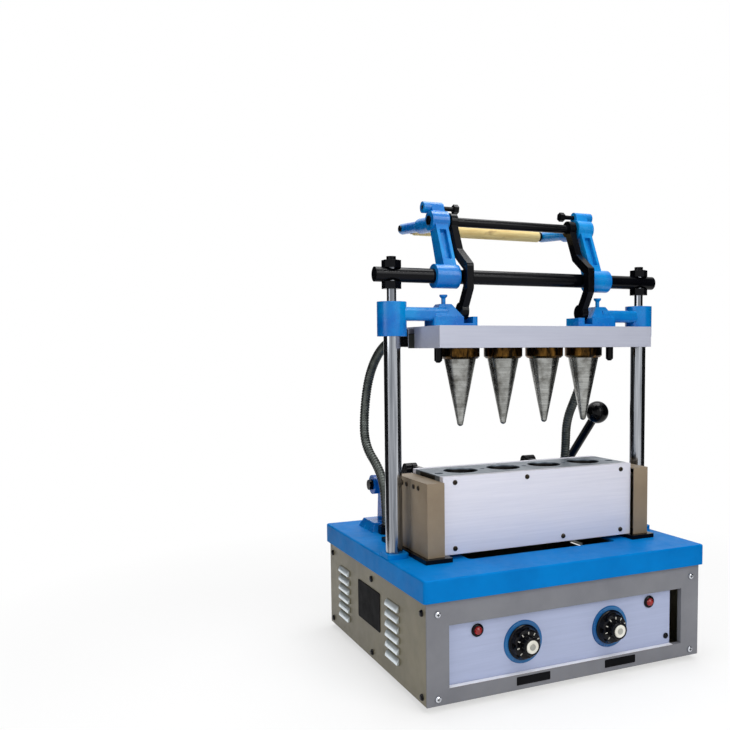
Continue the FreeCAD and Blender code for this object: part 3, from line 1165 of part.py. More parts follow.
def shaft_bracket():
    """Right bearing pedestal: a boss on a tapered stem with a sloped foot."""
    boss = bar((BEARING_X - BEARING_LENGTH / 2, OPENING_Y, OPENING_Z),
               (BEARING_X + BEARING_LENGTH / 2, OPENING_Y, OPENING_Z),
               BEARING_DIAMETER)
    inner = BEARING_X - BEARING_LENGTH / 2
    foot_top = PLATE_TOP + BEARING_FOOT_HEIGHT
    low, high = BEARING_FOOT_LENGTH / 2, BEARING_STEM_DEPTH / 2
    stem_outline = [(OPENING_Y - low + BEARING_FOOT_HEIGHT, PLATE_TOP),
                    (OPENING_Y + low - BEARING_FOOT_HEIGHT, PLATE_TOP),
                    (OPENING_Y + high, OPENING_Z), (OPENING_Y - high, OPENING_Z)]
    stem = plate_x(stem_outline, inner, inner + BEARING_STEM)
    outer = Part.makePolygon([V(x, y, PLATE_TOP) for x, y in (
        (inner, OPENING_Y - low), (inner + BEARING_FOOT_WIDTH, OPENING_Y - low),
        (inner + BEARING_FOOT_WIDTH, OPENING_Y + low), (inner, OPENING_Y + low), (inner, OPENING_Y - low))])
    slope = BEARING_FOOT_HEIGHT / 2
    upper = Part.makePolygon([V(x, y, foot_top) for x, y in (
        (inner, OPENING_Y - low + slope), (inner + BEARING_FOOT_WIDTH - slope, OPENING_Y - low + slope),
        (inner + BEARING_FOOT_WIDTH - slope, OPENING_Y + low - slope), (inner, OPENING_Y + low - slope),
        (inner, OPENING_Y - low + slope))])
    foot = Part.makeLoft([outer, upper], True, True)
    bore = bar((inner, OPENING_Y, OPENING_Z), (inner + BEARING_LENGTH, OPENING_Y, OPENING_Z),
               OPENING_SHAFT_DIAMETER + 2 * RUNNING_FIT)
    return fuse([boss, stem, foot]).cut(bore)


def opening_shaft():
    return bar((-OPENING_SHAFT_LEFT, OPENING_Y, OPENING_Z), (OPENING_SHAFT_RIGHT, OPENING_Y, OPENING_Z),
               OPENING_SHAFT_DIAMETER)


def lever_way():
    """Unit direction of the opening lever at rest: up and towards the front."""
    lean = math.radians(LEVER_ROD_LEAN)
    return V(0, -math.sin(lean), math.cos(lean))


def opening_lever():
    """Round lever with a hub clamped on the right end of the opening shaft."""
    x = around(LEVER_ROD_X, LEVER_HUB_LENGTH)
    hub = bar((x[0], OPENING_Y, OPENING_Z), (x[1], OPENING_Y, OPENING_Z), LEVER_HUB_DIAMETER)
    foot = V(LEVER_ROD_X, OPENING_Y, OPENING_Z)
    rod = bar(tuple(foot), tuple(foot + lever_way() * LEVER_ROD_LENGTH), LEVER_ROD_DIAMETER)
    bore = bar((x[0], OPENING_Y, OPENING_Z), (x[1], OPENING_Y, OPENING_Z),
               OPENING_SHAFT_DIAMETER + 2 * RUNNING_FIT)
    return fuse([hub, rod]).cut(bore)


def ball_knob():
    """Ball on the lever's end."""
    tip = V(LEVER_ROD_X, OPENING_Y, OPENING_Z) + lever_way() * LEVER_ROD_LENGTH
    centre = tip + lever_way() * (BALL_DIAMETER / 2 - BALL_SOCKET)
    socket = bar(tuple(tip - lever_way() * BALL_DIAMETER), tuple(tip), LEVER_ROD_DIAMETER + 2 * RUNNING_FIT)
    return Part.makeSphere(BALL_DIAMETER / 2, centre).cut(socket)


def throw_arm():
    """Right crank on the opening shaft, with the pin that drives the connecting rod."""
    x = around(THROW_X, THROW_THICKNESS)
    hub = bar((x[0], OPENING_Y, OPENING_Z), (x[1], OPENING_Y, OPENING_Z), THROW_HUB_DIAMETER)
    eye = bar((x[0], THROW_Y, THROW_Z), (x[1], THROW_Y, THROW_Z), THROW_EYE_DIAMETER)
    web = flat_bar([(OPENING_Y, OPENING_Z), (THROW_Y, THROW_Z)], x, THROW_EYE_DIAMETER)
    pin = bar((ROD_X - ROD_THICKNESS / 2, THROW_Y, THROW_Z), (x[1], THROW_Y, THROW_Z), THROW_PIN_DIAMETER)
    bore = bar((x[0], OPENING_Y, OPENING_Z), (x[1], OPENING_Y, OPENING_Z),
               OPENING_SHAFT_DIAMETER + 2 * RUNNING_FIT)
    return fuse([hub, eye, pin] + web).cut(bore)


def connecting_rod():
    """Right rod from the crank's pin to the lug on the rear mould half."""
    x = around(ROD_X, ROD_THICKNESS)
    route = [(THROW_Y, THROW_Z), (LUG_Y, THROW_Z)]
    pieces = flat_bar(route, x, ROD_WIDTH)
    for y, z in route:
        pieces.append(bar((x[0], y, z), (x[1], y, z), ROD_EYE_DIAMETER))
    bores = [bar((x[0], y, z), (x[1], y, z), THROW_PIN_DIAMETER + 2 * RUNNING_FIT) for y, z in route]
    return cut(fuse(pieces), bores)


# Conduits

def rounded_route(points):
    """Straight runs and tangent arcs through a route, as pieces of (length, place at a distance)."""
    runs = [V(*b) - V(*a) for a, b in zip(points, points[1:])]
    ways = [V(run).normalize() for run in runs]
    pieces = []
    radii = []
    here = V(*points[0])
    for i in range(1, len(points) - 1):
        turn = ways[i - 1].getAngle(ways[i])
        setback = 0.45 * min(runs[i - 1].Length, runs[i].Length)
        radius = setback / math.tan(turn / 2)
        start = V(*points[i]) - ways[i - 1] * setback
        inward = (ways[i] - ways[i - 1] * math.cos(turn)).normalize()
        pieces.append(((start - here).Length, here, ways[i - 1], None, 0))
        pieces.append((radius * turn, start, ways[i - 1], inward, radius))
        radii.append(radius)
        here = V(*points[i]) + ways[i] * setback
    end = V(*points[-1])
    pieces.append(((end - here).Length, here, ways[-1], None, 0))
    return pieces, radii


def place_on(pieces, distance):
    """Point and direction at a distance along a rounded route."""
    for length, start, way, inward, radius in pieces:
        if distance <= length or pieces[-1][1] == start:
            break
        distance -= length
    if inward is None:
        return start + way * distance, way
    angle = distance / radius
    point = start + way * (radius * math.sin(angle)) + inward * (radius * (1 - math.cos(angle)))
    return point, way * math.cos(angle) + inward * math.sin(angle)


def hoop(pieces, distance, diameter):
    """Circle square to the route, with its start turned towards X."""
    point, way = place_on(pieces, distance)
    circle = Part.Circle(point, way, diameter / 2)
    circle.XAxis = (V(1, 0, 0) - way * way.x).normalize()
    return Part.Wire(circle.toShape())


def conduit(name, route):
    """Ribbed metal conduit along a route, plain for one diameter at each end, with an open bore."""
    pieces, radii = rounded_route(route)
    length = sum(piece[0] for piece in pieces)
    valley = CONDUIT_DIAMETER - 2 * CONDUIT_RIB_DEPTH
    ribbed = length - 2 * CONDUIT_DIAMETER
    count = int(ribbed // CONDUIT_RIB_PITCH)
    pitch = ribbed / count
    hoops = [hoop(pieces, 0, valley)]
    for i in range(count):
        start = CONDUIT_DIAMETER + i * pitch
        for share, diameter in ((0, valley), (0.25, CONDUIT_DIAMETER), (0.6, CONDUIT_DIAMETER),
                                (0.85, valley)):
            hoops.append(hoop(pieces, start + share * pitch, diameter))
    hoops.append(hoop(pieces, length, valley))
    outer = Part.makeLoft(hoops, True, True)
    steps = 24
    inner = Part.makeLoft([hoop(pieces, length * i / steps, CONDUIT_BORE) for i in range(steps + 1)], True,
                          True)
    print(name, "length", round(length, 1), "ribs", count, "radii", [round(radius, 1) for radius in radii],
          "least radius in diameters", round(min(radii) / CONDUIT_DIAMETER, 2))
    return outer.cut(inner)


def model():
    """Every node's name with its solids."""
    panel, bracket, lever = side_panel(), slide_bracket(), lever_arm()
    return {
        "rubber_feet": rubber_feet(),
        "bottom_tray": [bottom_tray()],
        "front_frame": [front_frame()],
        "back_panel": [back_panel()],
        "left_side_panel": [mirrored(panel)],
        "right_side_panel": [panel],
        "top_plate": [top_plate()],
        "front_screws": [cabinet_screw(seat, (0, -1, 0)) for seat in front_screw_seats()],
        "cabinet_screws": cabinet_screws(),
        "control_panel": [control_panel()],
        "pilot_lamp_holders": [lamp_body(x) for x in LAMP_PLACES],
        "pilot_lamp_lenses": [lamp_lens(x) for x in LAMP_PLACES],
        "dial_rings": [dial_ring(x) for x in DIAL_PLACES],
        "thermostats": [thermostat(x) for x in DIAL_PLACES],
        "left_knob": [knob(DIAL_PLACES[0])],
        "right_knob": [knob(DIAL_PLACES[1])],
        "columns": both_sides(column()),
        "column_bosses": both_sides(column_boss()),
        "column_nuts": [n for nut in column_nuts() for n in both_sides(nut)],
        "main_shaft": [main_shaft()],
        "slide_rails": both_sides(slide_rail()),
        "front_mould_half": [mould_half(-1, 0)],
        "front_mould_cover": [mould_cover(-1, 0)],
        "front_end_covers": both_sides(end_cover(-1, 0)),
        "front_mould_screws": mould_screws(-1),
        "front_heaters": heaters(-1),
        "guide_pins": both_sides(guide_pin()),
        "rear_mould_half": [mould_half(1, MOVING_GAP)],
        "rear_mould_cover": [fuse([mould_cover(1, MOVING_GAP)] + both_sides(rod_lug()))],
        "rear_end_covers": both_sides(end_cover(1, MOVING_GAP)),
        "rear_mould_screws": mould_screws(1),
        "rear_heaters": heaters(1),
        "core_plate": [core_plate()],
        "head_cover": [head_cover()],
        "terminal_box": [terminal_box()],
        "cone_cores": [core(x) for x in CORE_PLACES],
        "core_collars": [core_collar(x) for x in CORE_PLACES],
        "locating_pins": both_sides(locating_pin()),
        "left_slide_bracket": [mirrored(bracket)],
        "right_slide_bracket": [bracket],
        "sleeve_bushes": both_sides(sleeve_bush()),
        "thumb_screws": both_sides(thumb_screw()),
        "head_glands": head_glands(),
        "left_lever_arm": [mirrored(lever)],
        "right_lever_arm": [lever],
        "clamp_bolts": both_sides(clamp_bolt()),
        "crank_rod": [crank_rod()],
        "toggle_links": both_sides(toggle_link()),
        "handle_tubes": both_sides(handle_tube()),
        "grip_spindle": [grip_spindle()],
        "wooden_grip": [wooden_grip()],
        "shaft_brackets": both_sides(shaft_bracket()),
        "opening_shaft": [opening_shaft()],
        "opening_lever": [opening_lever()],
        "ball_knob": [ball_knob()],
        "throw_arms": both_sides(throw_arm()),
        "connecting_rods": both_sides(connecting_rod()),
        "base_glands": base_glands() + [cable_gland()],
        "left_conduit": [conduit("left conduit", LEFT_ROUTE)],
        "right_conduit": [conduit("right conduit", RIGHT_ROUTE)],
    }


os.makedirs("parts", exist_ok=True)
for node, solids in model().items():
    Part.makeCompound(solids).exportStep("parts/" + node + ".step")
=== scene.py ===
import math

import bmesh
import bpy
from mathutils import Matrix, Vector


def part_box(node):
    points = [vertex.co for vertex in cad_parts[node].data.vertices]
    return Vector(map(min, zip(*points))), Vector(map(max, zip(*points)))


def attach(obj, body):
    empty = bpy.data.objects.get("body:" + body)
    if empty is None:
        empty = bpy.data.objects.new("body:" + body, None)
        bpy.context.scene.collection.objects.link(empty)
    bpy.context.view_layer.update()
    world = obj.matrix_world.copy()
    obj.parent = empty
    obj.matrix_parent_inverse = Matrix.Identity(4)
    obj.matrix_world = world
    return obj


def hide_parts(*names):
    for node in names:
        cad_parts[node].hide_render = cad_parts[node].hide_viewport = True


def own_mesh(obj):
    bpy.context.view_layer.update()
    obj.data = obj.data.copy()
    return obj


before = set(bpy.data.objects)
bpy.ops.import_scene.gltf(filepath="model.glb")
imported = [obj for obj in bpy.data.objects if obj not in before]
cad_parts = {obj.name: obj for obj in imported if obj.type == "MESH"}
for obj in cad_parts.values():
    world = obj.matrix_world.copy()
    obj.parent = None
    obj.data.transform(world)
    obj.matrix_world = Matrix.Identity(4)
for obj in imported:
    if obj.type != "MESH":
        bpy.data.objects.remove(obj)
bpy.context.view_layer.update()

# Places and sizes read from the frame, in metres like all lengths below
PRESS_Y = (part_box("columns")[0].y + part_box("columns")[1].y) / 2
SHAFT_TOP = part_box("main_shaft")[1].z
MOULD_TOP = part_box("front_mould_half")[1].z
CABINET_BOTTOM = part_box("front_frame")[0].z
SIDE_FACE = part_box("front_frame")[0].x
FRAME_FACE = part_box("front_frame")[0].y
PANEL_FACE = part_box("control_panel")[0].y
PANEL_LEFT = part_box("control_panel")[0].x
PANEL_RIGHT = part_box("control_panel")[1].x

# The photograph's camera: place, angles in degrees, focal length and principal point in pixels
IMAGE_SIZE = 730
CAMERA_PLACE = (-0.6287, -1.1138, 0.4494)
CAMERA_YAW = 25.17
CAMERA_PITCH = 4.07
CAMERA_ROLL = -0.38
CAMERA_FOCUS = 843.1
CAMERA_CENTRE = (440, 410)
CAMERA_RANGE = 100
SENSOR_WIDTH = 36

# Directions
LEFT = (-1, 0, 0)
FRONT = (0, -1, 0)
BACK = (0, 1, 0)
UP = (0, 0, 1)

# Conduits: the routes of the CAD solids, and one rib's outline as shares of the pitch with its radius
CONDUIT_DIAMETER = 0.0145
CONDUIT_SIDES = 24
CONDUIT_STEPS = 24
RIB_PITCH = 0.0042
RIB_OUTER = CONDUIT_DIAMETER / 2
RIB_SHOULDER = RIB_OUTER - 0.00025
RIB_INNER = RIB_OUTER - 0.00095
RIB_OUTLINE = (
    (0.0, RIB_INNER), (0.18, RIB_SHOULDER), (0.36, RIB_OUTER), (0.66, RIB_OUTER), (0.84, RIB_SHOULDER),
)
ROUTES = {
    "left_conduit": [
        (-0.150, 0.026, 0.4665), (-0.150, 0.066, 0.4665), (-0.1586, 0.1007, 0.452),
        (-0.1644, 0.1364, 0.4124), (-0.1707, 0.143, 0.3557), (-0.1768, 0.1278, 0.3016),
        (-0.1607, 0.1019, 0.2642), (-0.160, 0.080, 0.2254), (-0.160, 0.080, 0.181),
    ],
    "right_conduit": [
        (0.150, 0.002, 0.442), (0.150, 0.002, 0.413), (0.142, 0.014, 0.374), (0.1385, 0.036, 0.334),
        (0.1435, 0.0455, 0.286), (0.140, 0.0475, 0.234), (0.140, 0.0475, 0.181),
    ],
}

# Bare plates where the machine has words: width, height and thickness, and their places
PLATE_CORNER_STEPS = 5
PLATE_EDGE_STEPS = 3
SIDE_PLATE_SIZE = (0.089, 0.056, 0.0009)
SIDE_PLATE_CORNER = 0.003
SIDE_PLATE_EDGE = 0.0003
SIDE_PLATE_Y = 0.0115
SIDE_PLATE_RISE = 0.075
LABEL_SIZE = (0.051, 0.011, 0.0005)
LABEL_CORNER = 0.001
LABEL_RISE = 0.0115
LABEL_PLACES = {"left_label": -0.0615, "right_label": 0.0775}

# Near-white strip on the lower lip of the controls' window: a bright trim strip, whitened as a painted
# highlight
WINDOW_RISE = 0.020
PANEL_SIDE_LAP = 0.004
SILL_THICKNESS = 0.0006
SILL_SETBACK = 0.0004

# Knobs: caps in the seats of their noses, each with a grey centre disc as painted shade of the cap's recess,
# and marks on their shoulders
CAP_SEAT_DEPTH = 0.0015
CAP_OUTLINE = (
    (0.0087, 0), (0.0087, 0.0016), (0.0081, 0.0022), (0.0052, 0.0024), (0.0048, 0.0020), (0.001, 0.0020),
)
CAP_SIDES = 40
CENTRE_LIFT = 0.0004
CENTRE_OUTLINE = ((0.0042, 0), (0.0042, 0.0004), (0.0036, 0.0006), (0.0009, 0.0006))
CENTRE_SIDES = 32
SHOULDER_DEPTH = 0.010
MARK_COUNT = 9
MARK_SPAN = 270
MARK_RADIUS = 0.0155
MARK_SIZE = (0.0012, 0.0006, 0.0034)

# Screws on the cabinet's front
SCREW_RADIUS = 0.0045
# Dark crosses laid on the screw heads: painted shade for their cross recesses
CROSS_REACH = 0.0042
CROSS_WIDTH = 0.22 * CROSS_REACH
CROSS_DEPTH = 0.0003
PANEL_SCREW_X = 0.163
PANEL_SCREW_RISE = 0.032
PANEL_SCREW_OUTLINE = ((0.0042, 0), (0.004, 0.0014), (0.0026, 0.0021))
PANEL_SCREW_SIDES = 24

# Places of change in the materials
EDGE_RADIUS = 0.0008
EDGE_SAMPLES = 4
# Louvres: the span from foot to crest over which the side paint turns into a painted highlight and part
# metal
LOUVRE_FOOT = 0.0004 - SIDE_FACE
LOUVRE_CREST = 0.0032 - SIDE_FACE
LOUVRE_METAL = 0.6
CAVITY_EDGE = (0.0244, 0.0243)
# Depths below the mould's top over which the cavity walls go dark: painted shade
CAVITY_SHADE_DEPTHS = (MOULD_TOP - 0.0005, MOULD_TOP - 0.0024)
THREAD_FADE = 0.001

# Patterns: stretch along the axes, and the range that most values of a noise lie in
EVEN = (1, 1, 1)
LINES_ALONG_X = (0.03, 1, 1)
NOISE_RANGE = (0.3, 0.7)

# Studio: the floor's glow goes down to a share of white near the machine, where its shadow falls
FLOOR_HALF = 8.0
FLOOR_COLOUR = (0.86, 0.86, 0.86, 1)
FLOOR_ROUGHNESS = 0.9
SHADOW_REACH = (0.3, 0.95)
SHADOW_GLOW = 0.6
WORLD_LIGHT = 0.28
WHITE = (1, 1, 1, 1)

# Dark cards on both sides: bearing from the view in degrees, distance, half width and height
CARDS = {
    "back_card": (52, 1.7, 0.55, 1.7),
    "card": (92, 0.95, 0.5, 1.5),
}

# Lamps: place, point that they face, width and height, and power in watts
LAMPS = {
    "front_light": ((0.6, -2.4, 1.7), (0, 0, 0.3), (1.8, 1.4), 28),
    "left_light": ((-2.2, -0.6, 1.2), (0, 0, 0.3), (1.0, 1.6), 10),
    "top_light": ((0.1, 0.2, 2.4), (0, 0, 0.2), (1.6, 1.6), 47),
    "strip_light": ((0.2, -1.5, 1.9), (0, 0, 0.5), (1.6, 0.05), 7),
}


# Nodes

def add_node(tree, kind, inputs=None, **settings):
    """New node with its settings. An input is a fixed value or another node's output."""
    made = tree.nodes.new(kind)
    for key, value in settings.items():
        setattr(made, key, value)
    for key, value in (inputs or {}).items():
        feed(tree, value, made.inputs[key])
    return made


def feed(tree, value, socket):
    """Links another node's output to a socket, or sets the socket to a fixed value."""
    if isinstance(value, bpy.types.NodeSocket):
        tree.links.new(value, socket)
    else:
        socket.default_value = value


def combine(tree, operation, *values):
    """Result of a math node."""
    return add_node(tree, "ShaderNodeMath", dict(enumerate(values)), operation=operation).outputs[0]


def spread(tree, value, low, high, out_low=0, out_high=1):
    """Value's range from low to high as another range, held at both ends."""
    inputs = {"Value": value, "From Min": low, "From Max": high, "To Min": out_low, "To Max": out_high}
    return add_node(tree, "ShaderNodeMapRange", inputs).outputs["Result"]


def seen_directly(tree):
    """1 for rays from the camera and for reflections and refractions of them, and 0 for other light."""
    path = add_node(tree, "ShaderNodeLightPath")
    total = path.outputs["Is Camera Ray"]
    for ray in ("Is Glossy Ray", "Is Transmission Ray"):
        total = combine(tree, "MAXIMUM", total, path.outputs[ray])
    return total


# Materials

def linear(value):
    """One screen colour value from 0 to 255 as scene light."""
    value /= 255
    return value / 12.92 if value <= 0.04045 else ((value + 0.055) / 1.055) ** 2.4


def colour(red, green, blue):
    """Screen colour as the scene's own."""
    return (linear(red), linear(green), linear(blue), 1)


class Look:
    """A material's node tree, with short calls for the nodes that are used again and again."""

    def __init__(self, name):
        self.material = bpy.data.materials.new(name)
        self.material.use_nodes = True
        self.tree = self.material.node_tree
        self.shader = self.tree.nodes["Principled BSDF"]
        self.place = self.node("ShaderNodeTexCoord").outputs["Object"]

    def node(self, kind, inputs=None, **settings):
        return add_node(self.tree, kind, inputs, **settings)

    def set(self, **values):
        """Fixed values on the shader's own sockets."""
        for key, value in values.items():
            self.shader.inputs[key.replace("_", " ")].default_value = value

    def wire(self, output, socket):
        """Leads a node's output to one of the shader's sockets."""
        self.tree.links.new(output, self.shader.inputs[socket])

    def axis(self, letter):
        """Place along one axis."""
        return self.node("ShaderNodeSeparateXYZ", {"Vector": self.place}).outputs[letter]

    def noise(self, scale, detail=4, stretch=EVEN, rough=0.6):
        """Noise from 0 to 1. A stretch under 1 draws it out along that axis."""
        mapping = self.node("ShaderNodeMapping", {"Scale": stretch, "Vector": self.place})
        inputs = {"Scale": scale, "Detail": detail, "Roughness": rough, "Vector": mapping.outputs["Vector"]}
        return self.node("ShaderNodeTexNoise", inputs).outputs["Fac"]

    def spread(self, value, low, high, out_low=0, out_high=1):
        return spread(self.tree, value, low, high, out_low, out_high)

    def mix(self, share, first, second):
        """Mixes two colours, each a fixed colour or another node's output."""
        made = self.node("ShaderNodeMix", data_type="RGBA")
        factor = next(socket for socket in made.inputs if socket.type == "VALUE")
        colours = [socket for socket in made.inputs if socket.type == "RGBA"]
        for value, socket in zip((share, first, second), [factor] + colours):
            feed(self.tree, value, socket)
        return next(socket for socket in made.outputs if socket.type == "RGBA")

    def tone(self, pattern, low, high, first, second):
        """Colour that goes from first to second while a pattern goes from low to high."""
        return self.mix(self.spread(pattern, low, high), first, second)

    def base(self, output):
        self.wire(output, "Base Color")

    def rough(self, pattern, low, high):
        """Roughness from low to high that follows a noise."""
        self.wire(self.spread(pattern, *NOISE_RANGE, low, high), "Roughness")

    def bump(self, height, strength, distance):
        """Fine relief, on edges that are worn round."""
        worn = self.node("ShaderNodeBevel", {"Radius": EDGE_RADIUS}, samples=EDGE_SAMPLES).outputs["Normal"]
        inputs = {"Strength": strength, "Distance": distance, "Height": height, "Normal": worn}
        self.wire(self.node("ShaderNodeBump", inputs).outputs["Normal"], "Normal")


def enamel(name, main, shade, rough, gloss, grain=900, depth=0.00012):
    """Sprayed enamel: faint orange peel, soft patches of tone and uneven gloss."""
    look = Look(name)
    look.set(Specular_IOR_Level=gloss)
    look.base(look.tone(look.noise(14), 0.35, 0.68, main, shade))
    look.rough(look.noise(60), rough - 0.05, rough + 0.08)
    look.bump(look.noise(grain, detail=2), strength=0.35, distance=depth)
    return look.material


def sheet(name, main, shade, shine=0.25):
    """Satin sheet with faint brushing along its length."""
    look = Look(name)
    look.set(Metallic=shine, Specular_IOR_Level=0.3)
    lines = look.noise(300, detail=5, stretch=LINES_ALONG_X, rough=0.7)
    look.base(look.tone(lines, 0.25, 0.75, main, shade))
    look.rough(look.noise(40), 0.46, 0.58)
    look.bump(lines, strength=0.3, distance=0.00003)
    return look.material


def metal(name, main, shade, rough, stretch=EVEN, scale=300, depth=0.00004, patches=18):
    """Bare metal with fine lines or grain and a little staining."""
    look = Look(name)
    look.set(Metallic=1)
    lines = look.noise(scale, detail=5, stretch=stretch, rough=0.7)
    look.base(look.tone(look.noise(patches), 0.35, 0.7, main, shade))
    look.rough(lines, rough - 0.07, rough + 0.1)
    look.bump(lines, strength=0.4, distance=depth)
    return look.material


def plastic(name, main, shade, rough):
    """Moulded plastic or rubber with a fine grain."""
    look = Look(name)
    look.set(Specular_IOR_Level=0.16)
    look.base(look.tone(look.noise(40), 0.4, 0.7, main, shade))
    look.rough(look.noise(90), rough - 0.04, rough + 0.1)
    look.bump(look.noise(1800, detail=2), strength=0.2, distance=0.00003)
    return look.material


def side_sheet():
    """Taupe enamel, with the pressed louvres going near-white and partly metallic towards their crests: a
    painted highlight over their metal reflection.
    """
    look = Look("side_enamel")
    look.set(Specular_IOR_Level=0.2)
    paint = look.tone(look.noise(10), 0.35, 0.68, colour(126, 119, 98), colour(108, 102, 84))
    reach = combine(look.tree, "ABSOLUTE", look.axis("X"))
    # Towards the louvres' crests the paint goes near-white: a painted highlight
    look.base(look.tone(reach, LOUVRE_FOOT, LOUVRE_CREST, paint, colour(238, 247, 252)))
    look.wire(look.spread(reach, LOUVRE_FOOT, LOUVRE_CREST, 0, LOUVRE_METAL), "Metallic")
    look.rough(look.noise(70), 0.28, 0.4)
    look.bump(look.noise(1400, detail=2), strength=0.4, distance=0.0001)
    return look.material


def machined_mould():
    """Milled mould metal: tool lines across its top, and cavity walls going near-black below the rim as
    painted shade.
    """
    look = Look("machined_mould")
    look.set(Metallic=0.85)
    lines = look.noise(420, detail=5, stretch=(1, 0.04, 1), rough=0.7)
    clean = look.tone(look.noise(24), 0.35, 0.7, colour(132, 142, 153), colour(88, 98, 110))
    from_press = combine(look.tree, "ABSOLUTE", combine(look.tree, "ADD", look.axis("Y"), -PRESS_Y))
    inside = look.spread(from_press, *CAVITY_EDGE)
    below = look.spread(look.axis("Z"), *CAVITY_SHADE_DEPTHS)
    # Cavity walls go near-black below the rim: painted shade
    look.base(look.mix(combine(look.tree, "MULTIPLY", inside, below), clean, colour(16, 15, 15)))
    look.rough(lines, 0.34, 0.5)
    look.bump(lines, strength=0.4, distance=0.00004)
    return look.material


def turned_steel():
    """Turned cone: rings round its axis, heat stains and darker patches of burnt batter."""
    look = Look("turned_steel")
    look.set(Metallic=1)
    rings = look.noise(900, detail=3, stretch=(0.02, 0.02, 1))
    clean = look.tone(rings, 0.35, 0.65, colour(178, 179, 176), colour(146, 147, 144))
    look.base(look.tone(look.noise(55, detail=6), 0.42, 0.72, clean, colour(84, 82, 76)))
    look.rough(look.noise(160, detail=5), 0.16, 0.32)
    look.bump(rings, strength=0.2, distance=0.00005)
    return look.material


def ground_bar():
    """Ground and plated column, with long light and dark streaks down it that are painted reflections, and a
    blackened thread above the shaft.
    """
    look = Look("ground_bar")
    look.set(Metallic=1)
    # Long vertical streaks between light and dark grey in the base colour: painted reflections
    streaks = look.noise(230, detail=4, stretch=(1, 1, 0.02))
    bright = look.tone(streaks, 0.36, 0.62, colour(188, 191, 197), colour(116, 120, 127))
    look.base(look.tone(look.axis("Z"), SHAFT_TOP, SHAFT_TOP + THREAD_FADE, bright, colour(26, 26, 28)))
    look.rough(look.noise(300, detail=3, stretch=(1, 1, 0.04)), 0.08, 0.2)
    return look.material


def burnt_brass_painted_reflections():
    """Brass collar, brown from the heat, with near-black streaks that are painted dark reflections."""
    look = Look("burnt_brass_painted_reflections")
    look.set(Metallic=1)
    streaks = look.noise(120, detail=6, stretch=(1, 1, 0.3))
    # Streaks from heat-browned brass to near-black: heat tint and painted dark reflection
    look.base(look.tone(streaks, 0.34, 0.58, colour(132, 94, 42), colour(24, 18, 12)))
    look.rough(look.noise(200, detail=4), 0.24, 0.42)
    look.bump(look.noise(700, detail=3), strength=0.3, distance=0.0001)
    return look.material


def grip_wood():
    """Turned pale wood: grain along the grip and a few brown knots."""
    look = Look("grip_wood")
    grain = look.noise(160, detail=6, stretch=(0.08, 1, 1), rough=0.65)
    knots = look.noise(34, detail=3, stretch=(0.6, 1, 1))
    wood = look.tone(grain, 0.35, 0.65, colour(243, 223, 156), colour(214, 184, 116))
    look.base(look.tone(knots, 0.6, 0.72, wood, colour(128, 88, 44)))
    look.rough(grain, 0.45, 0.62)
    look.bump(grain, strength=0.5, distance=0.0002)
    return look.material


def red_lens():
    """Red glassy lens that lets a little light through and glows faintly."""
    look = Look("red_lens")
    look.set(Transmission_Weight=0.25, IOR=1.49, Emission_Strength=0.05, Emission_Color=colour(200, 20, 16))
    look.base(look.tone(look.noise(300), *NOISE_RANGE, colour(176, 24, 22), colour(116, 8, 10)))
    look.rough(look.noise(200), 0.1, 0.2)
    return look.material


LOOKS = {
    "blue": enamel("blue_enamel", colour(0, 123, 201), colour(0, 111, 187), rough=0.42, gloss=0.04),
    "cast_blue": enamel("cast_blue_enamel", colour(0, 140, 212), colour(0, 86, 180), rough=0.24, gloss=0.4,
                        grain=420, depth=0.0004),
    "grey": enamel("grey_enamel", colour(130, 131, 136), colour(120, 121, 127), rough=0.45, gloss=0.15,
                   grain=1400),
    "side": side_sheet(),
    "tan": enamel("tan_enamel", colour(150, 134, 112), colour(134, 118, 98), rough=0.42, gloss=0.2,
                  grain=1200),
    "mould_sheet": sheet("mould_sheet", colour(232, 231, 240), colour(220, 220, 231)),
    "head_sheet": sheet("head_sheet", colour(189, 192, 206), colour(177, 180, 196)),
    # Near-white sill: partly a painted highlight
    "sill": sheet("sill_highlight_sheet", colour(250, 250, 252), colour(242, 242, 246), shine=0.1),
    "panel": sheet("panel_sheet", colour(178, 187, 215), colour(166, 175, 204), shine=0.15),
    "mould": machined_mould(),
    "chrome": metal("chrome_plate", colour(206, 209, 215), colour(182, 185, 192), rough=0.12),
    "column": ground_bar(),
    "steel": metal("plain_steel", colour(170, 172, 174), colour(140, 142, 145), rough=0.34,
                   stretch=LINES_ALONG_X),
    "conduit": metal("conduit_steel", colour(96, 100, 97), colour(60, 64, 62), rough=0.42, scale=600,
                     depth=0.00005, patches=60),
    "cone": turned_steel(),
    "brass": metal("gland_brass", colour(186, 152, 86), colour(150, 118, 60), rough=0.35, scale=400),
    "dark_screw": metal("dark_screw", colour(58, 51, 42), colour(30, 26, 22), rough=0.36, scale=400),
    "collar": burnt_brass_painted_reflections(),
    "iron": enamel("dark_iron", colour(62, 64, 60), colour(44, 46, 43), rough=0.5, gloss=0.2, grain=700),
    "black": enamel("black_enamel", colour(9, 10, 14), colour(4, 4, 7), rough=0.14, gloss=0.12, grain=700),
    "plate": enamel("bare_plate", colour(20, 20, 23), colour(11, 11, 13), rough=0.6, gloss=0.05, grain=1200),
    "knob": plastic("black_moulding", colour(8, 8, 12), colour(4, 4, 6), rough=0.14),
    "red": red_lens(),
    "wood": grip_wood(),
    "rubber": plastic("black_rubber", colour(30, 30, 31), colour(20, 20, 21), rough=0.75),
    "ivory": plastic("ivory_cap", colour(236, 234, 224), colour(222, 219, 206), rough=0.35),
    "cap_centre_shade": plastic("cap_centre_shade", colour(176, 176, 168), colour(150, 150, 142), rough=0.4),
    "ring": enamel("dial_ring", colour(24, 108, 166), colour(14, 78, 138), rough=0.24, gloss=0.4),
}

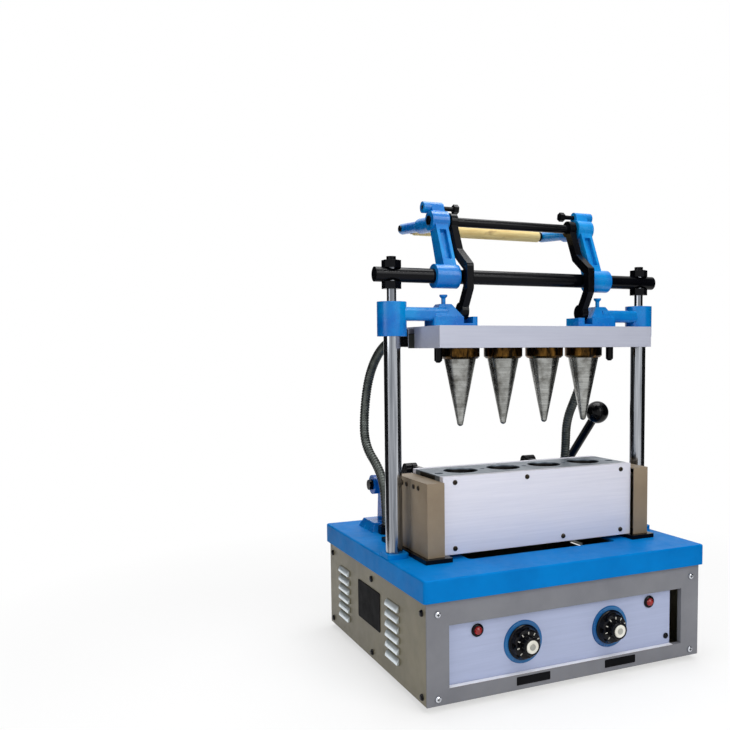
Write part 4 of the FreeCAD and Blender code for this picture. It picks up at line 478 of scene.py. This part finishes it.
DRESS = {
    "blue": "top_plate column_bosses",
    "cast_blue": "left_slide_bracket right_slide_bracket left_lever_arm right_lever_arm"
                 " shaft_brackets handle_tubes thumb_screws",
    "grey": "front_frame",
    "side": "left_side_panel right_side_panel back_panel bottom_tray",
    "tan": "front_end_covers rear_end_covers",
    "mould_sheet": "front_mould_cover rear_mould_cover",
    "head_sheet": "head_cover",
    "panel": "control_panel",
    "mould": "front_mould_half rear_mould_half",
    "iron": "core_plate",
    "chrome": "front_screws",
    "column": "columns",
    "steel": "guide_pins front_heaters rear_heaters",
    "cone": "cone_cores",
    "brass": "sleeve_bushes",
    "dark_screw": "front_mould_screws rear_mould_screws",
    "collar": "core_collars",
    "black": "main_shaft column_nuts slide_rails terminal_box crank_rod toggle_links clamp_bolts"
             " cabinet_screws opening_shaft opening_lever throw_arms connecting_rods grip_spindle"
             " base_glands head_glands pilot_lamp_holders locating_pins",
    "knob": "left_knob right_knob ball_knob thermostats",
    "red": "pilot_lamp_lenses",
    "wood": "wooden_grip",
    "rubber": "rubber_feet",
    "ring": "dial_rings",
}


def dress_nodes():
    """Gives each CAD node its material."""
    for look, names in DRESS.items():
        for name in names.split():
            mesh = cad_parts[name].data
            mesh.materials.clear()
            mesh.materials.append(LOOKS[look])


# Shapes

def ring(shape, place, across, other, radius, sides):
    """Round of points about a place, in the plane of two directions."""
    angles = [2 * math.pi * i / sides for i in range(sides)]
    ways = [across * math.cos(angle) + other * math.sin(angle) for angle in angles]
    return [shape.verts.new(place + way * radius) for way in ways]


def skin(shape, rings):
    """Closes a row of rings to a tube with flat ends."""
    for low, high in zip(rings, rings[1:]):
        for i in range(len(low)):
            after = (i + 1) % len(low)
            shape.faces.new((low[i], low[after], high[after], high[i]))
    shape.faces.new(list(reversed(rings[0])))
    shape.faces.new(rings[-1])


def turned(outline, sides):
    """Shape turned from (radius, height) pairs about its own Z axis, closed at both ends."""
    shape = bmesh.new()
    across, other, up = Vector((1, 0, 0)), Vector((0, 1, 0)), Vector(UP)
    skin(shape, [ring(shape, up * height, across, other, radius, sides) for radius, height in outline])
    return shape


def rounded_plate(width, height, thickness, corner):
    """Thin plate in its own XY plane with round corners, its back on z = 0."""
    shape = bmesh.new()
    outline = []
    for turn, (sx, sy) in enumerate(((1, 1), (-1, 1), (-1, -1), (1, -1))):
        centre = Vector((sx * (width / 2 - corner), sy * (height / 2 - corner), 0))
        for i in range(PLATE_CORNER_STEPS + 1):
            angle = math.pi / 2 * (turn + i / PLATE_CORNER_STEPS)
            outline.append(shape.verts.new(centre + Vector((math.cos(angle), math.sin(angle), 0)) * corner))
    face = shape.faces.new(outline)
    raised = bmesh.ops.extrude_face_region(shape, geom=[face])
    lifted = [v for v in raised["geom"] if isinstance(v, bmesh.types.BMVert)]
    bmesh.ops.translate(shape, verts=lifted, vec=(0, 0, thickness))
    bmesh.ops.recalc_face_normals(shape, faces=shape.faces)
    return shape


def block(shape, size, placed=Matrix()):
    """Adds a box to a shape, turned and placed by a matrix."""
    corners = bmesh.ops.create_cube(shape, size=1)["verts"]
    bmesh.ops.scale(shape, vec=size, verts=corners)
    bmesh.ops.transform(shape, matrix=placed, verts=corners)


def stand(shape, place, out, up):
    """Moves a shape made flat so that its face looks out and its top is up."""
    out, up = Vector(out), Vector(up)
    side = up.cross(out)
    turn = Matrix((side, up, out)).transposed().to_4x4()
    bmesh.ops.transform(shape, matrix=Matrix.Translation(Vector(place)) @ turn, verts=shape.verts)


def spline_points(name, route):
    """Points along the smooth line that a route's points steer."""
    curve = bpy.data.curves.new(name + "_line", "CURVE")
    curve.dimensions = "3D"
    curve.resolution_u = CONDUIT_STEPS
    spline = curve.splines.new("NURBS")
    spline.points.add(len(route) - 1)
    for point, place in zip(spline.points, route):
        point.co = (*place, 1)
    spline.order_u = 3
    spline.use_endpoint_u = True
    line = bpy.data.objects.new(name + "_line", curve)
    bpy.context.scene.collection.objects.link(line)
    bpy.context.view_layer.update()
    mesh = bpy.data.meshes.new_from_object(line)
    points = [vertex.co.copy() for vertex in mesh.vertices]
    bpy.data.objects.remove(line)
    bpy.data.meshes.remove(mesh)
    return points


def walk(points, distances):
    """Places and directions at the given distances along a line of points."""
    found = []
    index, passed = 0, 0.0
    for distance in distances:
        step = (points[index + 1] - points[index]).length
        while passed + step < distance and index < len(points) - 2:
            passed += step
            index += 1
            step = (points[index + 1] - points[index]).length
        way = (points[index + 1] - points[index]).normalized()
        found.append((points[index] + way * (distance - passed), way))
    return found


# Pieces

def piece(name, shape, look, body, smooth=True):
    """A finished mesh as a named piece that moves with a body."""
    mesh = bpy.data.meshes.new(name)
    shape.to_mesh(mesh)
    shape.free()
    mesh.materials.append(LOOKS[look])
    if smooth:
        mesh.shade_smooth()
    made = bpy.data.objects.new(name, mesh)
    bpy.context.scene.collection.objects.link(made)
    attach(made, body)
    return made


def soften(made, width):
    """Rounds the sharp edges of a piece."""
    bevel = made.modifiers.new("edges", "BEVEL")
    bevel.width = width
    bevel.segments = PLATE_EDGE_STEPS
    bevel.limit_method = "ANGLE"
    bevel.harden_normals = True


def conduit(name, route):
    """Strip-wound metal conduit along the route, with a rolled rib at each turn of the strip."""
    points = spline_points(name, route)
    length = sum((b - a).length for a, b in zip(points, points[1:]))
    count = round(length / RIB_PITCH)
    pitch = length / count
    distances = [(i + share) * pitch for i in range(count) for share, radius in RIB_OUTLINE] + [length]
    radii = [radius for i in range(count) for share, radius in RIB_OUTLINE] + [RIB_INNER]
    shape = bmesh.new()
    across = Vector((1, 0, 0))
    rings = []
    for (place, way), radius in zip(walk(points, distances), radii):
        across = (across - way * across.dot(way)).normalized()
        rings.append(ring(shape, place, across, way.cross(across), radius, CONDUIT_SIDES))
    skin(shape, rings)
    made = piece(name + "_ribbed", shape, "conduit", "base")
    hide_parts(name)
    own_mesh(made)


def bare_plates():
    """Plate on the cabinet's left side and two labels under the controls."""
    plate = rounded_plate(*SIDE_PLATE_SIZE, SIDE_PLATE_CORNER)
    stand(plate, (SIDE_FACE, SIDE_PLATE_Y, CABINET_BOTTOM + SIDE_PLATE_RISE), LEFT, UP)
    soften(piece("side_plate", plate, "plate", "base", False), SIDE_PLATE_EDGE)
    for name, x in LABEL_PLACES.items():
        label = rounded_plate(*LABEL_SIZE, LABEL_CORNER)
        stand(label, (x, FRAME_FACE, CABINET_BOTTOM + LABEL_RISE), FRONT, UP)
        piece(name, label, "plate", "base", False)


def window_sill_highlight():
    """Near-white strip on the window's lower lip, along the control panel: a bright trim strip, whitened as
    a painted highlight.
    """
    left = PANEL_LEFT + PANEL_SIDE_LAP
    depth = PANEL_FACE - FRAME_FACE - 2 * SILL_SETBACK
    place = ((left + PANEL_RIGHT) / 2, (PANEL_FACE + FRAME_FACE) / 2, CABINET_BOTTOM + WINDOW_RISE)
    sill = rounded_plate(PANEL_RIGHT - left, depth, SILL_THICKNESS, SILL_SETBACK)
    stand(sill, place, UP, BACK)
    piece("window_sill_highlight", sill, "sill", "base", False)


def knob_trim(side):
    """Pale cap in a knob's nose with a grey disc in its recessed centre as painted shade, and plain marks
    round the knob's shoulder.
    """
    low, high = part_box(side + "_knob")
    middle = (low + high) / 2
    cap = turned(CAP_OUTLINE, CAP_SIDES)
    stand(cap, (middle.x, low.y + CAP_SEAT_DEPTH, middle.z), FRONT, UP)
    piece(side + "_knob_cap", cap, "ivory", side + "_dial")
    # Grey disc in the cap's recessed centre: painted shade of that recess
    centre = turned(CENTRE_OUTLINE, CENTRE_SIDES)
    stand(centre, (middle.x, low.y - CENTRE_LIFT, middle.z), FRONT, UP)
    piece(side + "_knob_cap_centre", centre, "cap_centre_shade", side + "_dial")
    marks = bmesh.new()
    shoulder = Matrix.Translation((middle.x, low.y + SHOULDER_DEPTH, middle.z))
    outward = Matrix.Translation((0, 0, MARK_RADIUS))
    for i in range(MARK_COUNT):
        angle = math.radians(MARK_SPAN * (i / (MARK_COUNT - 1) - 0.5))
        block(marks, MARK_SIZE, shoulder @ Matrix.Rotation(angle, 4, "Y") @ outward)
    piece(side + "_knob_marks", marks, "ivory", side + "_dial", False)


def front_cross_shades():
    """Dark crosses laid on the bright front screws: painted shade standing for their cross recesses."""
    low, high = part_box("front_screws")
    for side, x in (("left", low.x + SCREW_RADIUS), ("right", high.x - SCREW_RADIUS)):
        for level, z in (("low", low.z + SCREW_RADIUS), ("high", high.z - SCREW_RADIUS)):
            cross = bmesh.new()
            block(cross, (CROSS_REACH, CROSS_WIDTH, CROSS_DEPTH))
            block(cross, (CROSS_WIDTH, CROSS_REACH, CROSS_DEPTH))
            stand(cross, (x, low.y, z), FRONT, UP)
            piece("front_screw_cross_%s_%s" % (side, level), cross, "plate", "base", False)


def panel_screw():
    """Dark screw in the control panel's lower right corner."""
    screw = turned(PANEL_SCREW_OUTLINE, PANEL_SCREW_SIDES)
    stand(screw, (PANEL_SCREW_X, PANEL_FACE, CABINET_BOTTOM + PANEL_SCREW_RISE), FRONT, UP)
    piece("panel_screw", screw, "black", "base")


# Studio

def stage_plane(name, corners, material):
    """One flat face of the stage."""
    mesh = bpy.data.meshes.new(name)
    mesh.from_pydata(corners, [], [tuple(range(len(corners)))])
    mesh.materials.append(material)
    made = bpy.data.objects.new(name, mesh)
    bpy.context.scene.collection.objects.link(made)
    return made


def pale_floor():
    """White floor that still takes the object's shadow."""
    look = Look("pale_floor")
    look.set(Base_Color=FLOOR_COLOUR, Roughness=FLOOR_ROUGHNESS)
    glow = look.node("ShaderNodeEmission", {"Strength": 1})
    distance = look.node("ShaderNodeVectorMath", {0: look.place}, operation="LENGTH").outputs["Value"]
    fade = look.spread(distance, *SHADOW_REACH, SHADOW_GLOW, 1)
    share = combine(look.tree, "MULTIPLY", seen_directly(look.tree), fade)
    shaders = {"Fac": share, 1: look.shader.outputs["BSDF"], 2: glow.outputs["Emission"]}
    mixed = look.node("ShaderNodeMixShader", shaders)
    look.tree.links.new(mixed.outputs["Shader"], look.tree.nodes["Material Output"].inputs["Surface"])
    return look.material


def dark_card(name, bearing, distance, half_width, height):
    """Upright black card beside the machine, unseen by the camera, that gives its metal dark edges."""
    angle = math.radians(CAMERA_YAW + bearing)
    middle = Vector((math.sin(angle), math.cos(angle), 0)) * distance
    along = Vector((math.cos(angle), -math.sin(angle), 0)) * half_width
    corners = [middle - along, middle + along]
    corners += [corner + Vector((0, 0, height)) for corner in reversed(corners)]
    card = stage_plane(name, [tuple(corner) for corner in corners], LOOKS["rubber"])
    card.visible_camera = False


def studio_world():
    """White surroundings where they are seen or mirrored, and a dimmer light on the object."""
    world = bpy.data.worlds.new("studio")
    bpy.context.scene.world = world
    world.use_nodes = True
    tree = world.node_tree
    sky = tree.nodes["Background"]
    feed(tree, WHITE, sky.inputs["Color"])
    feed(tree, spread(tree, seen_directly(tree), 0, 1, WORLD_LIGHT, 1), sky.inputs["Strength"])


def soft_light(name, place, target, size, power):
    """Rectangular lamp that faces a point."""
    data = bpy.data.lights.new(name, "AREA")
    data.shape = "RECTANGLE"
    data.size, data.size_y = size
    data.energy = power
    made = bpy.data.objects.new(name, data)
    made.location = place
    made.rotation_euler = (Vector(target) - Vector(place)).to_track_quat("-Z", "Y").to_euler()
    bpy.context.scene.collection.objects.link(made)


def photo_camera():
    """Camera at the photograph's place, with its own focal length and framing."""
    yaw, pitch, roll = (math.radians(angle) for angle in (CAMERA_YAW, CAMERA_PITCH, CAMERA_ROLL))
    ahead = Vector((math.sin(yaw) * math.cos(pitch), math.cos(yaw) * math.cos(pitch), -math.sin(pitch)))
    right = Vector((math.cos(yaw), -math.sin(yaw), 0))
    up = right.cross(ahead)
    across = right * math.cos(roll) + up * math.sin(roll)
    above = up * math.cos(roll) - right * math.sin(roll)
    data = bpy.data.cameras.new("photo_camera")
    data.sensor_width = SENSOR_WIDTH
    data.lens = CAMERA_FOCUS / IMAGE_SIZE * SENSOR_WIDTH
    data.shift_x = (IMAGE_SIZE / 2 - CAMERA_CENTRE[0]) / IMAGE_SIZE
    data.shift_y = (CAMERA_CENTRE[1] - IMAGE_SIZE / 2) / IMAGE_SIZE
    data.clip_end = CAMERA_RANGE
    made = bpy.data.objects.new("photo_camera", data)
    turn = Matrix((across, above, -ahead)).transposed().to_4x4()
    made.matrix_world = Matrix.Translation(CAMERA_PLACE) @ turn
    bpy.context.scene.collection.objects.link(made)
    bpy.context.scene.camera = made


# The part
dress_nodes()
for conduit_name, conduit_route in ROUTES.items():
    conduit(conduit_name, conduit_route)
bare_plates()
window_sill_highlight()
for knob_side in ("left", "right"):
    knob_trim(knob_side)
front_cross_shades()
panel_screw()

# The studio round it
floor_signs = ((-1, -1), (1, -1), (1, 1), (-1, 1))
stage_plane("floor", [(x * FLOOR_HALF, y * FLOOR_HALF, 0) for x, y in floor_signs], pale_floor())
for card_side, card_sign in (("left", -1), ("right", 1)):
    for card_name, (card_bearing, *card_sizes) in CARDS.items():
        dark_card(card_side + "_" + card_name, card_sign * card_bearing, *card_sizes)
studio_world()
for lamp_name, lamp in LAMPS.items():
    soft_light(lamp_name, *lamp)
photo_camera()
bpy.context.scene.view_settings.view_transform = "Standard"
